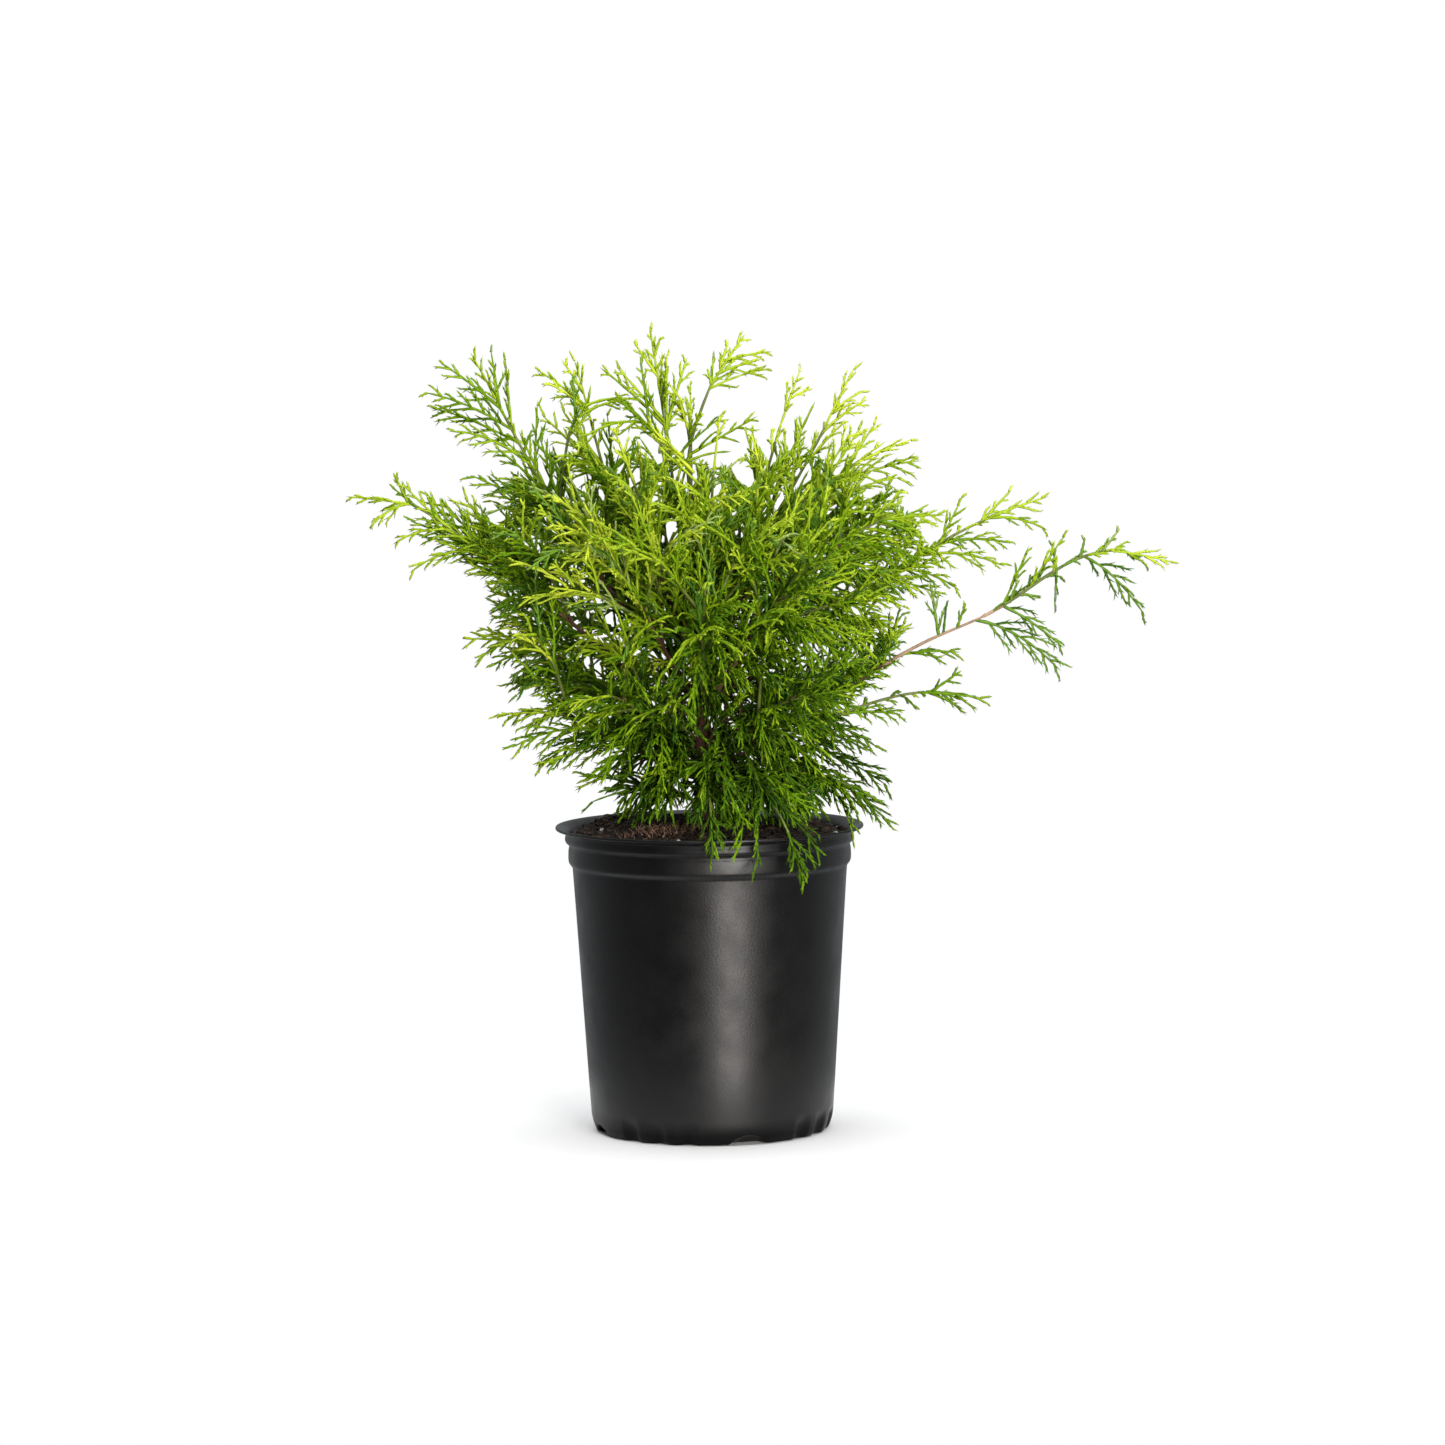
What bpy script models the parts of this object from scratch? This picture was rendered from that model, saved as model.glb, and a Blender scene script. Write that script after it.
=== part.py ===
"""A gold mop threadleaf false cypress in its nursery pot.

Pot, soil, trunk, boughs and masses of thread-like foliage are separate objects. The origin is the
middle of the pot's flat underside, +X is right, -Y is the front and +Z is up. Sizes are in metres.
"""

import math
import random

import bmesh
import bpy
import numpy as np
from mathutils import Vector

MM = 0.001
GAP = 0.3 * MM
SEED = 23

# Pot: a one gallon nursery pot, radius and height in mm up its outside and down its inside
POT_SEGMENTS = 72
POT_FLAT_RADIUS = 52.0
POT_OUTSIDE = (
    (60.7, 0.0),
    (62.6, 1.1),
    (63.9, 4.4),
    (64.9, 8.2),
    (65.2, 12.5),
    (73.4, 140.5),
    (75.5, 145.4),
    (75.7, 151.2),
    (75.4, 153.2),
    (76.9, 155.0),
    (77.5, 160.0),
    (82.1, 162.6),
    (82.5, 163.5),
)
POT_INSIDE = (
    (82.0, 164.0),
    (79.4, 163.2),
    (75.9, 160.2),
    (73.6, 150.0),
    (71.7, 140.0),
    (63.0, 12.5),
    (54.0, 3.0),
)
LIP_RADIUS = 82.5 * MM

# Foot: four arched drain notches, and shallow bays between them
NOTCH_ANGLE = math.radians(18.0)
NOTCH_COUNT = 4
NOTCH_HALF_WIDTH = math.radians(9.0)
NOTCH_HEIGHT = 4.6
NOTCH_STEP = 0.5
BAY_STEP = math.radians(15.0)
BAY_PLACES = (2, 3, 4)
BAY_DEPTH = 2.2
BAY_TOP = 10.0

# Soil: a low dome that fills the pot, level round the trunk
SOIL_SEGMENTS = 24
SOIL_MIDDLE = 166.0 * MM
SOIL_EDGE = 158.5 * MM
SOIL_CLEARANCE = 0.5 * MM
SOIL_LEVEL_RADIUS = 16.0 * MM
SOIL_RADII = (74.6, 66.0, 54.0, 40.0, 26.0, 16.0)
SOIL_LUMP = 0.7 * MM

# Trunk: one short stem that leans a little and tapers up through the foliage
TRUNK_FOOT = Vector((-3.0, 0.0, 0.0)) * MM
TRUNK_LEAN = Vector((-9.0, 3.0, 0.0)) * MM
TRUNK_SWAY = Vector((3.0, -2.0, 0.0)) * MM
TRUNK_HEIGHT = 130.0 * MM
TRUNK_LOW_RADIUS = 4.7 * MM
TRUNK_TOP_RADIUS = 2.7 * MM
FLARE_RADIUS = 3.0 * MM
FLARE_HEIGHT = 7.0 * MM
TRUNK_SIDES = 10
TRUNK_RINGS = 13

# Boughs and stems
BOUGH_SIDES = 6
BOUGH_RINGS = 6
BOUGH_FOOT_RADIUS = 1.5 * MM
BOUGH_THICKENING = 0.003
STEM_RADIUS = 1.4 * MM
STEM_END_RADIUS = 0.8 * MM
STEM_SIDES = 3
STEM_RING_SPACING = 22.0 * MM
FOOT_REACH = 2.5 * MM
PATH_PULL = 0.34
PATH_SAMPLES = 25

# Sprays: threads stand in pairs on a slim drooping axis
SPRAY_SPACING = 14.5 * MM
SPRAY_LENGTH = 46.0 * MM
SPRAY_VARIES = (0.9, 1.15)
SPRAY_ANGLE = math.radians(42.0)
ANGLE_VARIES = (0.85, 1.2)
END_SPRAY_SHARE = 0.7
END_SPRAY_ROLL = (0.5, 1.1)
SPRAY_DROOP = 0.26
SPRAY_TWIST = math.radians(137.5)
SPRAY_ROLL = math.radians(20.0)
SPRAY_SCALES = (1.0, 0.8, 0.62, 0.48)
SPRAY_TURNS = (0.0, 0.7, -0.7)
THREAD_PAIRS = 3
PAIR_PLACES = (0.28, 0.84)
THREAD_TAPER = (1.15, 0.6)
THREAD_SLIMMING = 0.6
THREAD_SAG = 0.12
THREAD_SHARE = 0.42
THREAD_ANGLE = math.radians(36.0)
THREAD_FOOT = 3.3 * MM
THREAD_HALF_WIDTH = THREAD_FOOT * math.sin(THREAD_ANGLE)
AXIS_HALF_WIDTH = 1.1 * MM
AXIS_HALF_THICKNESS = 0.9 * MM
TEST_STEP = 2.5 * MM
TEST_MARGIN = 0.5 * MM
END_SINK = 3.0 * MM

# Each shoot: name, tip (right, back, up) in mm, height of its foot above the soil in mm,
# pitch in degrees at its foot and at its tip, and the bare share of it that is its bough.
# A share of 0 is a mass that stands straight on the trunk.
SHOOTS = (
    ("crown_top", (-29, -6, 431), 130, 84, 80, 0.0),
    ("upper_mid", (22, 14, 426), 121, 62, 38, 0.30),
    ("upper_left", (-70, 12, 415), 106, 44, 74, 0.28),
    ("upper_right", (82, 18, 410), 110, 42, 62, 0.28),
    ("upper_right_front", (51, -40, 409), 101, 44, 62, 0.28),
    ("upper_back", (-8, 74, 400), 99, 44, 60, 0.28),
    ("upper_front_left", (-48, -66, 380), 95, 42, 50, 0.28),
    ("upper_front", (8, -74, 386), 84, 44, 50, 0.28),
    ("upper_back_right", (60, 72, 388), 86, 42, 50, 0.28),
    ("upper_back_left", (-74, 68, 384), 88, 42, 50, 0.28),
    ("fan_left", (-124, -12, 418), 79, 40, 62, 0.42),
    ("shoulder_right", (112, -12, 370), 93, 42, 8, 0.30),
    ("reaching_right", (184, 18, 337), 60, 32, 14, 0.42),
    ("arching_right", (126, -36, 330), 76, 36, -14, 0.28),
    ("long_right", (249, -8, 302), 44, 3, -26, 0.58),
    ("long_left", (-191, -14, 342), 56, 28, -10, 0.40),
    ("bright_front_left", (-80, -98, 330), 69, 36, -6, 0.30),
    ("middle_front_right", (74, -100, 312), 62, 36, -6, 0.30),
    ("middle_front", (0, -114, 300), 52, 36, -14, 0.30),
    ("middle_left", (-132, 14, 264), 40, 26, -14, 0.30),
    ("middle_back_left", (-98, 84, 318), 65, 36, -2, 0.30),
    ("middle_back", (8, 114, 310), 50, 36, -6, 0.30),
    ("middle_back_right", (98, 84, 318), 70, 36, -2, 0.30),
    ("low_right", (149, 10, 229), 30, 14, -20, 0.28),
    ("low_left", (-113, -24, 226), 24, 16, -22, 0.0),
    ("low_front_left", (-72, -88, 236), 35, 26, -26, 0.0),
    ("low_front_right", (78, -86, 232), 40, 26, -26, 0.0),
    ("low_back_left", (-78, 84, 228), 31, 24, -26, 0.0),
    ("low_back_right", (76, 86, 226), 36, 24, -26, 0.0),
    ("rim_left", (-65, -46, 179), 11, 18, -40, 0.0),
    ("rim_front", (2, -98, 153), 19, 32, -72, 0.0),
    ("rim_front_right", (50, -90, 137), 26, 34, -76, 0.0),
    ("rim_right", (98, -22, 162), 17, 36, -68, 0.0),
    ("rim_back", (-14, 94, 176), 13, 26, -50, 0.0),
)

POT_LOOK = ((0.012, 0.012, 0.013), 0.38, 0.0)
SOIL_LOOK = ((0.045, 0.028, 0.018), 0.95, 0.0)
BARK_LOOK = ((0.19, 0.085, 0.045), 0.8, 0.0)
FOLIAGE_LOOK = ((0.16, 0.34, 0.03), 0.55, 0.0)
UP = Vector((0.0, 0.0, 1.0))


def clear_scene():
    for thing in list(bpy.data.objects):
        bpy.data.objects.remove(thing, do_unlink=True)


def material(name, look):
    colour, roughness, metallic = look
    made = bpy.data.materials.new(name)
    made.use_nodes = True
    shader = made.node_tree.nodes["Principled BSDF"]
    shader.inputs["Base Color"].default_value = (*colour, 1.0)
    shader.inputs["Roughness"].default_value = roughness
    shader.inputs["Metallic"].default_value = metallic
    return made


def new_object(name, points, faces, look=None):
    mesh = bpy.data.meshes.new(name)
    mesh.from_pydata([tuple(point) for point in points], [], faces)
    mesh.update()
    made = bpy.data.objects.new(name, mesh)
    bpy.context.scene.collection.objects.link(made)
    if look:
        made.data.materials.append(material(name + "_finish", look))
    return made


def shade_round(thing):
    thing.data.shade_smooth()
    thing.data.set_sharp_from_angle(angle=math.radians(40.0))


def blend(start, end, share):
    return start + (end - start) * share


def turned(rings, segments, first_angle):
    """Points and faces of a closed solid from rings(angle), a list of (radius, height).

    The first and the last pair lie on the axis.
    """
    count = len(rings(0.0)) - 2
    points = []
    for step in range(segments):
        angle = first_angle + step * math.tau / segments
        for radius, height in rings(angle)[1:-1]:
            points.append((radius * math.sin(angle), -radius * math.cos(angle), height))
    bottom = len(points)
    points.append((0.0, 0.0, rings(0.0)[0][1]))
    points.append((0.0, 0.0, rings(0.0)[-1][1]))
    faces = []
    for step in range(segments):
        here = step * count
        there = (step + 1) % segments * count
        faces.append((bottom, there, here))
        for ring in range(count - 1):
            faces.append((here + ring, there + ring, there + ring + 1, here + ring + 1))
        faces.append((bottom + 1, here + count - 1, there + count - 1))
    return points, faces


def wave(angle, step, half_width):
    """1 at the middle of a bay that repeats every step, 0 past half_width from it."""
    away = (angle + step / 2) % step - step / 2
    if abs(away) >= half_width:
        return 0.0
    return math.cos(away / half_width * math.pi / 2)


def notch_height(angle):
    bay = wave(angle - NOTCH_ANGLE, math.tau / NOTCH_COUNT, NOTCH_HALF_WIDTH)
    return NOTCH_HEIGHT * math.sqrt(bay)


def bay_depth(angle):
    """The places next to a drain notch are left flat."""
    place = (angle - NOTCH_ANGLE) % (math.tau / NOTCH_COUNT)
    if round(place / BAY_STEP) not in BAY_PLACES:
        return 0.0
    return BAY_DEPTH * wave(angle - NOTCH_ANGLE, BAY_STEP, BAY_STEP / 3)


def pot_rings(angle):
    notch = notch_height(angle)
    rings = [(0.0, 0.0), (POT_FLAT_RADIUS, 0.0)]
    for step, (radius, height) in enumerate(POT_OUTSIDE):
        if height < BAY_TOP:
            radius -= bay_depth(angle)
            height = max(height, notch + NOTCH_STEP * step)
        rings.append((radius, height))
    rings += POT_INSIDE
    rings.append((0.0, POT_INSIDE[-1][1]))
    return [(radius * MM, height * MM) for radius, height in rings]


def make_pot():
    points, faces = turned(pot_rings, POT_SEGMENTS, NOTCH_ANGLE)
    shade_round(new_object("pot", points, faces, POT_LOOK))


def soil_height(radius, angle):
    """Height of the soil: level round the trunk, then falling to the wall with low lumps."""
    share = max(0.0, radius - SOIL_LEVEL_RADIUS) / (SOIL_RADII[0] * MM - SOIL_LEVEL_RADIUS)
    lump = math.sin(3 * angle + 1.0) * math.sin(9.0 * share) + 0.6 * math.sin(7 * angle + 2.0)
    return blend(SOIL_MIDDLE, SOIL_EDGE, share**1.6) + SOIL_LUMP * lump * share


def soil_rings(angle):
    floor = POT_INSIDE[-1][1] * MM + GAP
    rings = [(0.0, floor)]
    for radius, height in POT_INSIDE[:2:-1]:
        rings.append((radius * MM - SOIL_CLEARANCE, height * MM + GAP))
    for radius in SOIL_RADII:
        rings.append((radius * MM, soil_height(radius * MM, angle)))
    rings.append((0.0, SOIL_MIDDLE))
    return rings


def make_soil():
    points, faces = turned(soil_rings, SOIL_SEGMENTS, NOTCH_ANGLE)
    shade_round(new_object("soil", points, faces, SOIL_LOOK))


def trunk_point(height):
    share = height / TRUNK_HEIGHT
    level = UP * (SOIL_MIDDLE + GAP + height)
    return TRUNK_FOOT + TRUNK_LEAN * share + TRUNK_SWAY * math.sin(math.pi * share) + level


def trunk_radius(height):
    taper = blend(TRUNK_LOW_RADIUS, TRUNK_TOP_RADIUS, (height / TRUNK_HEIGHT) ** 0.8)
    return taper + FLARE_RADIUS * math.exp(-height / FLARE_HEIGHT)


def frames(points):
    """A forward and a side direction at each point of a line, turned as little as can be."""
    forwards = []
    for index in range(len(points)):
        before = points[max(0, index - 1)]
        after = points[min(len(points) - 1, index + 1)]
        forwards.append((after - before).normalized())
    side = forwards[0].cross(UP if abs(forwards[0].z) < 0.9 else Vector((0.0, 1.0, 0.0)))
    pairs = []
    for forward in forwards:
        side = (side - forward * side.dot(forward)).normalized()
        pairs.append((forward, side.copy()))
    return pairs


def tube(points, radii, sides, foot_plane=None):
    """A closed tapering tube; foot_plane (normal, place) cuts its foot parallel to the trunk."""
    corners = []
    for index, (forward, side) in enumerate(frames(points)):
        other = forward.cross(side)
        for corner in range(sides):
            angle = corner * math.tau / sides
            place = points[index] + radii[index] * (
                side * math.cos(angle) + other * math.sin(angle)
            )
            if index == 0 and foot_plane:
                normal, foot = foot_plane
                place -= forward * ((place - foot).dot(normal) / forward.dot(normal))
            corners.append(place)
    faces = [tuple(reversed(range(sides)))]
    for ring in range(len(points) - 1):
        for corner in range(sides):
            low = ring * sides + corner
            across = ring * sides + (corner + 1) % sides
            faces.append((low, across, across + sides, low + sides))
    faces.append(tuple(range(len(corners) - sides, len(corners))))
    return corners, faces


def make_trunk():
    heights = [TRUNK_HEIGHT * (ring / (TRUNK_RINGS - 1)) ** 1.4 for ring in range(TRUNK_RINGS)]
    points = [trunk_point(height) for height in heights]
    corners, faces = tube(
        points, [trunk_radius(height) for height in heights], TRUNK_SIDES, (UP, points[0])
    )
    shade_round(new_object("trunk", corners, faces, BARK_LOOK))


def direction(heading, pitch):
    level = Vector((math.cos(heading), math.sin(heading), 0.0))
    return level * math.cos(pitch) + UP * math.sin(pitch)


class Shoot:
    """A line from the trunk to a tip: its first share is a bough, the rest a mass's stem."""

    def __init__(self, name, tip, foot, foot_pitch, tip_pitch, bare):
        self.name = name
        self.bare = bare
        self.tip = Vector(tip) * MM
        height = foot * MM
        middle = trunk_point(height)
        self.heading = math.atan2(self.tip.y - middle.y, self.tip.x - middle.x)
        out = direction(self.heading, 0.0)
        if height >= TRUNK_HEIGHT:
            start = middle + UP * GAP
            self.foot_plane = (UP, start)
        else:
            rise = (trunk_point(height + FOOT_REACH) - trunk_point(height - FOOT_REACH)).normalized()
            normal = (out - rise * out.dot(rise)).normalized()
            start = middle + normal * (trunk_radius(height - FOOT_REACH) + GAP)
            self.foot_plane = (normal, start)
        pull = PATH_PULL * (self.tip - start).length
        self.controls = (
            start,
            start + direction(self.heading, math.radians(foot_pitch)) * pull,
            self.tip - direction(self.heading, math.radians(tip_pitch)) * pull,
            self.tip,
        )
        self.length = sum(
            (self.at((step + 1) / 40) - self.at(step / 40)).length for step in range(40)
        )

    def at(self, share):
        a, b, c, d = self.controls
        rest = 1.0 - share
        return (
            a * rest**3
            + b * (3 * share * rest**2)
            + c * (3 * share**2 * rest)
            + d * share**3
        )

    def forward(self, share):
        return (self.at(min(1.0, share + 0.01)) - self.at(max(0.0, share - 0.01))).normalized()

    def stem_start(self):
        return self.bare + GAP / self.length if self.bare else 0.0

    def stem_end(self):
        """The stem stops short of the tip, which its last spray reaches."""
        return 1.0 - END_SPRAY_SHARE * SPRAY_LENGTH / self.length

    def bough_radius(self, share):
        foot = BOUGH_FOOT_RADIUS + BOUGH_THICKENING * self.length
        return blend(foot, STEM_RADIUS, share / self.bare)

    def stem_radius(self, share):
        start = self.stem_start()
        return blend(STEM_RADIUS, STEM_END_RADIUS, (share - start) / (1.0 - start))

    def line(self, start, end, count):
        return [self.at(blend(start, end, step / (count - 1))) for step in range(count)]


def make_bough(shoot):
    shares = [shoot.bare * ring / (BOUGH_RINGS - 1) for ring in range(BOUGH_RINGS)]
    points = [shoot.at(share) for share in shares]
    radii = [shoot.bough_radius(share) for share in shares]
    corners, faces = tube(points, radii, BOUGH_SIDES, shoot.foot_plane)
    shade_round(new_object("bough_" + shoot.name, corners, faces, BARK_LOOK))


class Spaces:
    """Says whether a point belongs to a shoot's own space and is clear of limbs, soil and pot."""

    def __init__(self, shoots):
        self.stems = [self.segments(s.line(s.stem_start(), 1.0, PATH_SAMPLES)) for s in shoots]
        limbs = []
        for shoot in shoots:
            if shoot.bare:
                points = shoot.line(0.0, shoot.bare, 9)
                radii = [shoot.bough_radius(shoot.bare * step / 8) for step in range(8)]
                limbs.append((*self.segments(points), np.array(radii)))
        heights = [TRUNK_HEIGHT * step / 20 for step in range(21)]
        radii = [trunk_radius(height) for height in heights[:-1]]
        limbs.append((*self.segments([trunk_point(h) for h in heights]), np.array(radii)))
        self.limb_starts = np.concatenate([limb[0] for limb in limbs])
        self.limb_steps = np.concatenate([limb[1] for limb in limbs])
        self.limb_radii = np.concatenate([limb[2] for limb in limbs])

    @staticmethod
    def segments(points):
        places = np.array([tuple(point) for point in points])
        return places[:-1], places[1:] - places[:-1]

    @staticmethod
    def distances(places, starts, steps):
        """Distance from each place to each segment."""
        away = places[:, None, :] - starts[None]
        along = (away * steps).sum(axis=2) / (steps * steps).sum(axis=1)
        nearest = away - np.clip(along, 0.0, 1.0)[..., None] * steps
        return np.linalg.norm(nearest, axis=2)

    def holds(self, places, radii, own):
        """True where every place, with its radius round it, lies in the space of shoot own."""
        places = np.array([tuple(place) for place in places])
        room = np.array(radii) + TEST_MARGIN
        reach = [self.distances(places, *stem).min(axis=1) for stem in self.stems]
        others = np.min([reach[i] for i in range(len(reach)) if i != own], axis=0)
        if (others - reach[own] < 2 * room).any():
            return False
        limbs = self.distances(places, self.limb_starts, self.limb_steps) - self.limb_radii
        if (limbs < room[:, None]).any():
            return False
        over_soil = places[:, 2] - room > SOIL_MIDDLE
        outside = np.hypot(places[:, 0], places[:, 1]) - room > LIP_RADIUS
        return bool((over_soil | outside).all())


class Spray:
    """A slim drooping axis with pairs of threads in one plane, as one closed body."""

    def __init__(self, root, forward, normal, length, thread_scale=1.0):
        self.points = [root]
        self.tests = []
        self.radii = []
        self.root = root
        self.start = forward * length
        self.fall = -UP * SPRAY_DROOP * length * math.hypot(forward.x, forward.y)
        for pair in range(THREAD_PAIRS):
            share = blend(*PAIR_PLACES, pair / (THREAD_PAIRS - 1))
            self.add_pair(share, normal, length * thread_scale)
        self.points.append(self.at(1.0))
        steps = int(length / TEST_STEP)
        for step in range(2, steps + 1):
            self.tests.append(self.at(step / steps))
            self.radii.append(AXIS_HALF_WIDTH)

    def at(self, share):
        return self.root + self.start * share + self.fall * share**2

    def add_pair(self, share, normal, length):
        place = self.at(share)
        forward = (self.start + self.fall * 2 * share).normalized()
        side = normal.cross(forward).normalized()
        above = forward.cross(side)
        slim = blend(1.0, THREAD_SLIMMING, share)
        reach = THREAD_SHARE * length * blend(*THREAD_TAPER, share)
        for sign in (1, -1):
            out = side * sign
            tip = place + reach * (
                forward * math.cos(THREAD_ANGLE) + out * math.sin(THREAD_ANGLE) - UP * THREAD_SAG
            )
            edge = out * AXIS_HALF_WIDTH * slim
            foot = forward * THREAD_FOOT * slim
            self.points += [place - foot + edge, tip, place + foot + edge]
            steps = int(reach / TEST_STEP) + 1
            for step in range(1, steps + 1):
                self.tests.append(place.lerp(tip, step / steps))
                self.radii.append(THREAD_HALF_WIDTH * slim * (1.0 - step / steps))
        lift = above * AXIS_HALF_THICKNESS * slim
        self.points += [place + lift, place - lift]

    def faces(self):
        """Each pair holds 8 points: left foot, tip, foot, right foot, tip, foot, ridge, keel."""
        last = len(self.points) - 1
        made = []
        for ridge, turn in ((6, 1), (7, -1)):
            for first, flip in ((0, 1), (3, -1)):
                fan = []
                for pair in range(THREAD_PAIRS):
                    base = 1 + 8 * pair
                    mid = base + ridge
                    back, tip, front = base + first, base + first + 1, base + first + 2
                    fan += [(mid, front, tip), (mid, tip, back)]
                    if pair == 0:
                        fan.append((0, mid, back))
                    if pair == THREAD_PAIRS - 1:
                        fan.append((mid, last, front))
                    else:
                        fan += [(mid, mid + 8, back + 8), (mid, back + 8, front)]
                made += fan if turn * flip > 0 else [face[::-1] for face in fan]
        return made


def turned_side(shoot, share, roll):
    """The side direction at a place on the stem, level and square to it, rolled about it."""
    forward = shoot.forward(share)
    level = Vector((-math.sin(shoot.heading), math.cos(shoot.heading), 0.0))
    side = (level - forward * level.dot(forward)).normalized()
    return side * math.cos(roll) + forward.cross(side) * math.sin(roll)


def spray_swell(share):
    """Sprays are longest a third of the way along the stem and shorten to its tip."""
    return math.sin(0.9 + 1.5 * share)


def grow_sprays(shoot, own, spaces, draw):
    """Sprays wind round the stem; one that won't fit is turned, then shortened, then skipped."""
    start, end = shoot.stem_start(), shoot.stem_end()
    count = max(3, round((end - start) * shoot.length / SPRAY_SPACING))
    grown = []
    first_roll = draw.uniform(0.0, math.tau)
    for number in range(count):
        share = blend(start, end, (number + 0.7) / (count + 0.3))
        roll = first_roll + number * SPRAY_TWIST + draw.uniform(-SPRAY_ROLL, SPRAY_ROLL)
        angle = SPRAY_ANGLE * draw.uniform(*ANGLE_VARIES)
        size = SPRAY_LENGTH * draw.uniform(*SPRAY_VARIES) * spray_swell(number / count)
        forward = shoot.forward(share)
        for scale, turn in [(scale, turn) for scale in SPRAY_SCALES for turn in SPRAY_TURNS]:
            side = turned_side(shoot, share, roll + turn)
            heading = forward * math.cos(angle) + side * math.sin(angle)
            spray = Spray(shoot.at(share), heading, forward.cross(side), size * scale)
            if spaces.holds(spray.tests, spray.radii, own):
                grown.append(spray)
                break
    grown.append(end_spray(shoot, own, spaces, draw))
    return grown


def end_spray(shoot, own, spaces, draw):
    """The spray that ends the stem at the shoot's tip, with shorter threads where space is tight."""
    end = shoot.stem_end()
    forward = shoot.forward(end)
    root = shoot.at(end) - forward * END_SINK
    heading = shoot.tip - root
    roll = draw.uniform(*END_SPRAY_ROLL)
    for scale, turn in [(scale, turn) for scale in SPRAY_SCALES for turn in (*SPRAY_TURNS, 1.4)]:
        side = turned_side(shoot, end, roll + turn)
        normal = forward.cross(side)
        spray = Spray(root, heading.normalized(), normal, heading.length, scale)
        if spaces.holds(spray.tests, spray.radii, own):
            break
    return spray


def keep_main_body(mesh):
    """Drops scraps and the skins of sealed hollows, so that one closed body is left."""
    work = bmesh.new()
    work.from_mesh(mesh)
    bmesh.ops.triangulate(work, faces=work.faces)
    waiting = set(work.verts)
    bodies = []
    while waiting:
        stack = [waiting.pop()]
        body = set(stack)
        while stack:
            for edge in stack.pop().link_edges:
                for vertex in edge.verts:
                    if vertex not in body:
                        body.add(vertex)
                        stack.append(vertex)
        waiting -= body
        bodies.append(body)
    largest = max(bodies, key=len)
    scraps = [vertex for vertex in work.verts if vertex not in largest]
    bmesh.ops.delete(work, geom=scraps, context="VERTS")
    work.to_mesh(mesh)
    work.free()


def make_mass(shoot, own, spaces, draw):
    start, end = shoot.stem_start(), shoot.stem_end()
    rings = max(4, round((end - start) * shoot.length / STEM_RING_SPACING))
    shares = [blend(start, end, ring / (rings - 1)) for ring in range(rings)]
    plane = None if shoot.bare else shoot.foot_plane
    corners, faces = tube(
        [shoot.at(share) for share in shares],
        [shoot.stem_radius(share) for share in shares],
        STEM_SIDES,
        plane,
    )
    mass = new_object("foliage_" + shoot.name, corners, faces, FOLIAGE_LOOK)
    sprays = bpy.data.collections.new("sprays")
    bpy.context.scene.collection.children.link(sprays)
    for spray in grow_sprays(shoot, own, spaces, draw):
        piece = new_object("spray", spray.points, spray.faces())
        bpy.context.scene.collection.objects.unlink(piece)
        sprays.objects.link(piece)
    join = mass.modifiers.new("join", "BOOLEAN")
    join.operation = "UNION"
    join.operand_type = "COLLECTION"
    join.collection = sprays
    join.solver = "EXACT"
    graph = bpy.context.evaluated_depsgraph_get()
    joined = bpy.data.meshes.new_from_object(mass.evaluated_get(graph))
    mass.modifiers.clear()
    mass.data = joined
    for piece in list(sprays.objects):
        bpy.data.objects.remove(piece, do_unlink=True)
    bpy.data.collections.remove(sprays)
    keep_main_body(joined)


def make_plant():
    shoots = [Shoot(*row) for row in SHOOTS]
    spaces = Spaces(shoots)
    make_trunk()
    for own, shoot in enumerate(shoots):
        if shoot.bare:
            make_bough(shoot)
        make_mass(shoot, own, spaces, random.Random(SEED + own))


clear_scene()
make_pot()
make_soil()
make_plant()
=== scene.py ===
"""Looks of a gold mop threadleaf false cypress in its nursery pot.

The pot, the soil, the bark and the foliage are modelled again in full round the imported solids, which
they replace. Sizes are in metres: +X is right, -Y is the front and +Z is up.
"""

import math
import random
from collections import namedtuple
from itertools import product

import bpy
import numpy as np
from mathutils import Matrix, Vector, noise


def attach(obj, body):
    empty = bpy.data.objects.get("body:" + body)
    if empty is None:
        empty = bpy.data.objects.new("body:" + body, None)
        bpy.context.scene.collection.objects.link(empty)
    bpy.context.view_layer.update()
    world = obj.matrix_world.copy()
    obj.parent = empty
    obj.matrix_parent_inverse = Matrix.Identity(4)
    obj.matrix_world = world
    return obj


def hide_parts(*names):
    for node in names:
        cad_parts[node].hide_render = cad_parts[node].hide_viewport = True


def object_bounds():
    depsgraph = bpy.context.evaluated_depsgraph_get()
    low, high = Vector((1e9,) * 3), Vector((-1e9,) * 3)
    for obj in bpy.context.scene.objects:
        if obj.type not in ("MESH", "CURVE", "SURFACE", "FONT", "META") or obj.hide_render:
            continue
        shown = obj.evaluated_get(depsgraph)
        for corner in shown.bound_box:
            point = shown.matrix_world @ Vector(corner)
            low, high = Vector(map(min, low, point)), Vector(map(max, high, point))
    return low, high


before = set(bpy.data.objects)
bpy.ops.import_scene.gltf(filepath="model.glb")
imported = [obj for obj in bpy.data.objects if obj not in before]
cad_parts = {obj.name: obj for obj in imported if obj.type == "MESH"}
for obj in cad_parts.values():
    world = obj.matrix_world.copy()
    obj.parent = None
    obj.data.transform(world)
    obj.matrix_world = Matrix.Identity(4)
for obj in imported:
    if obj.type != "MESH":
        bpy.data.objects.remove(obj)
CAD_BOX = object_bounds()

MM = 0.001
GAP = 0.3 * MM
SEED = 23
UP = Vector((0.0, 0.0, 1.0))

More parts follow.
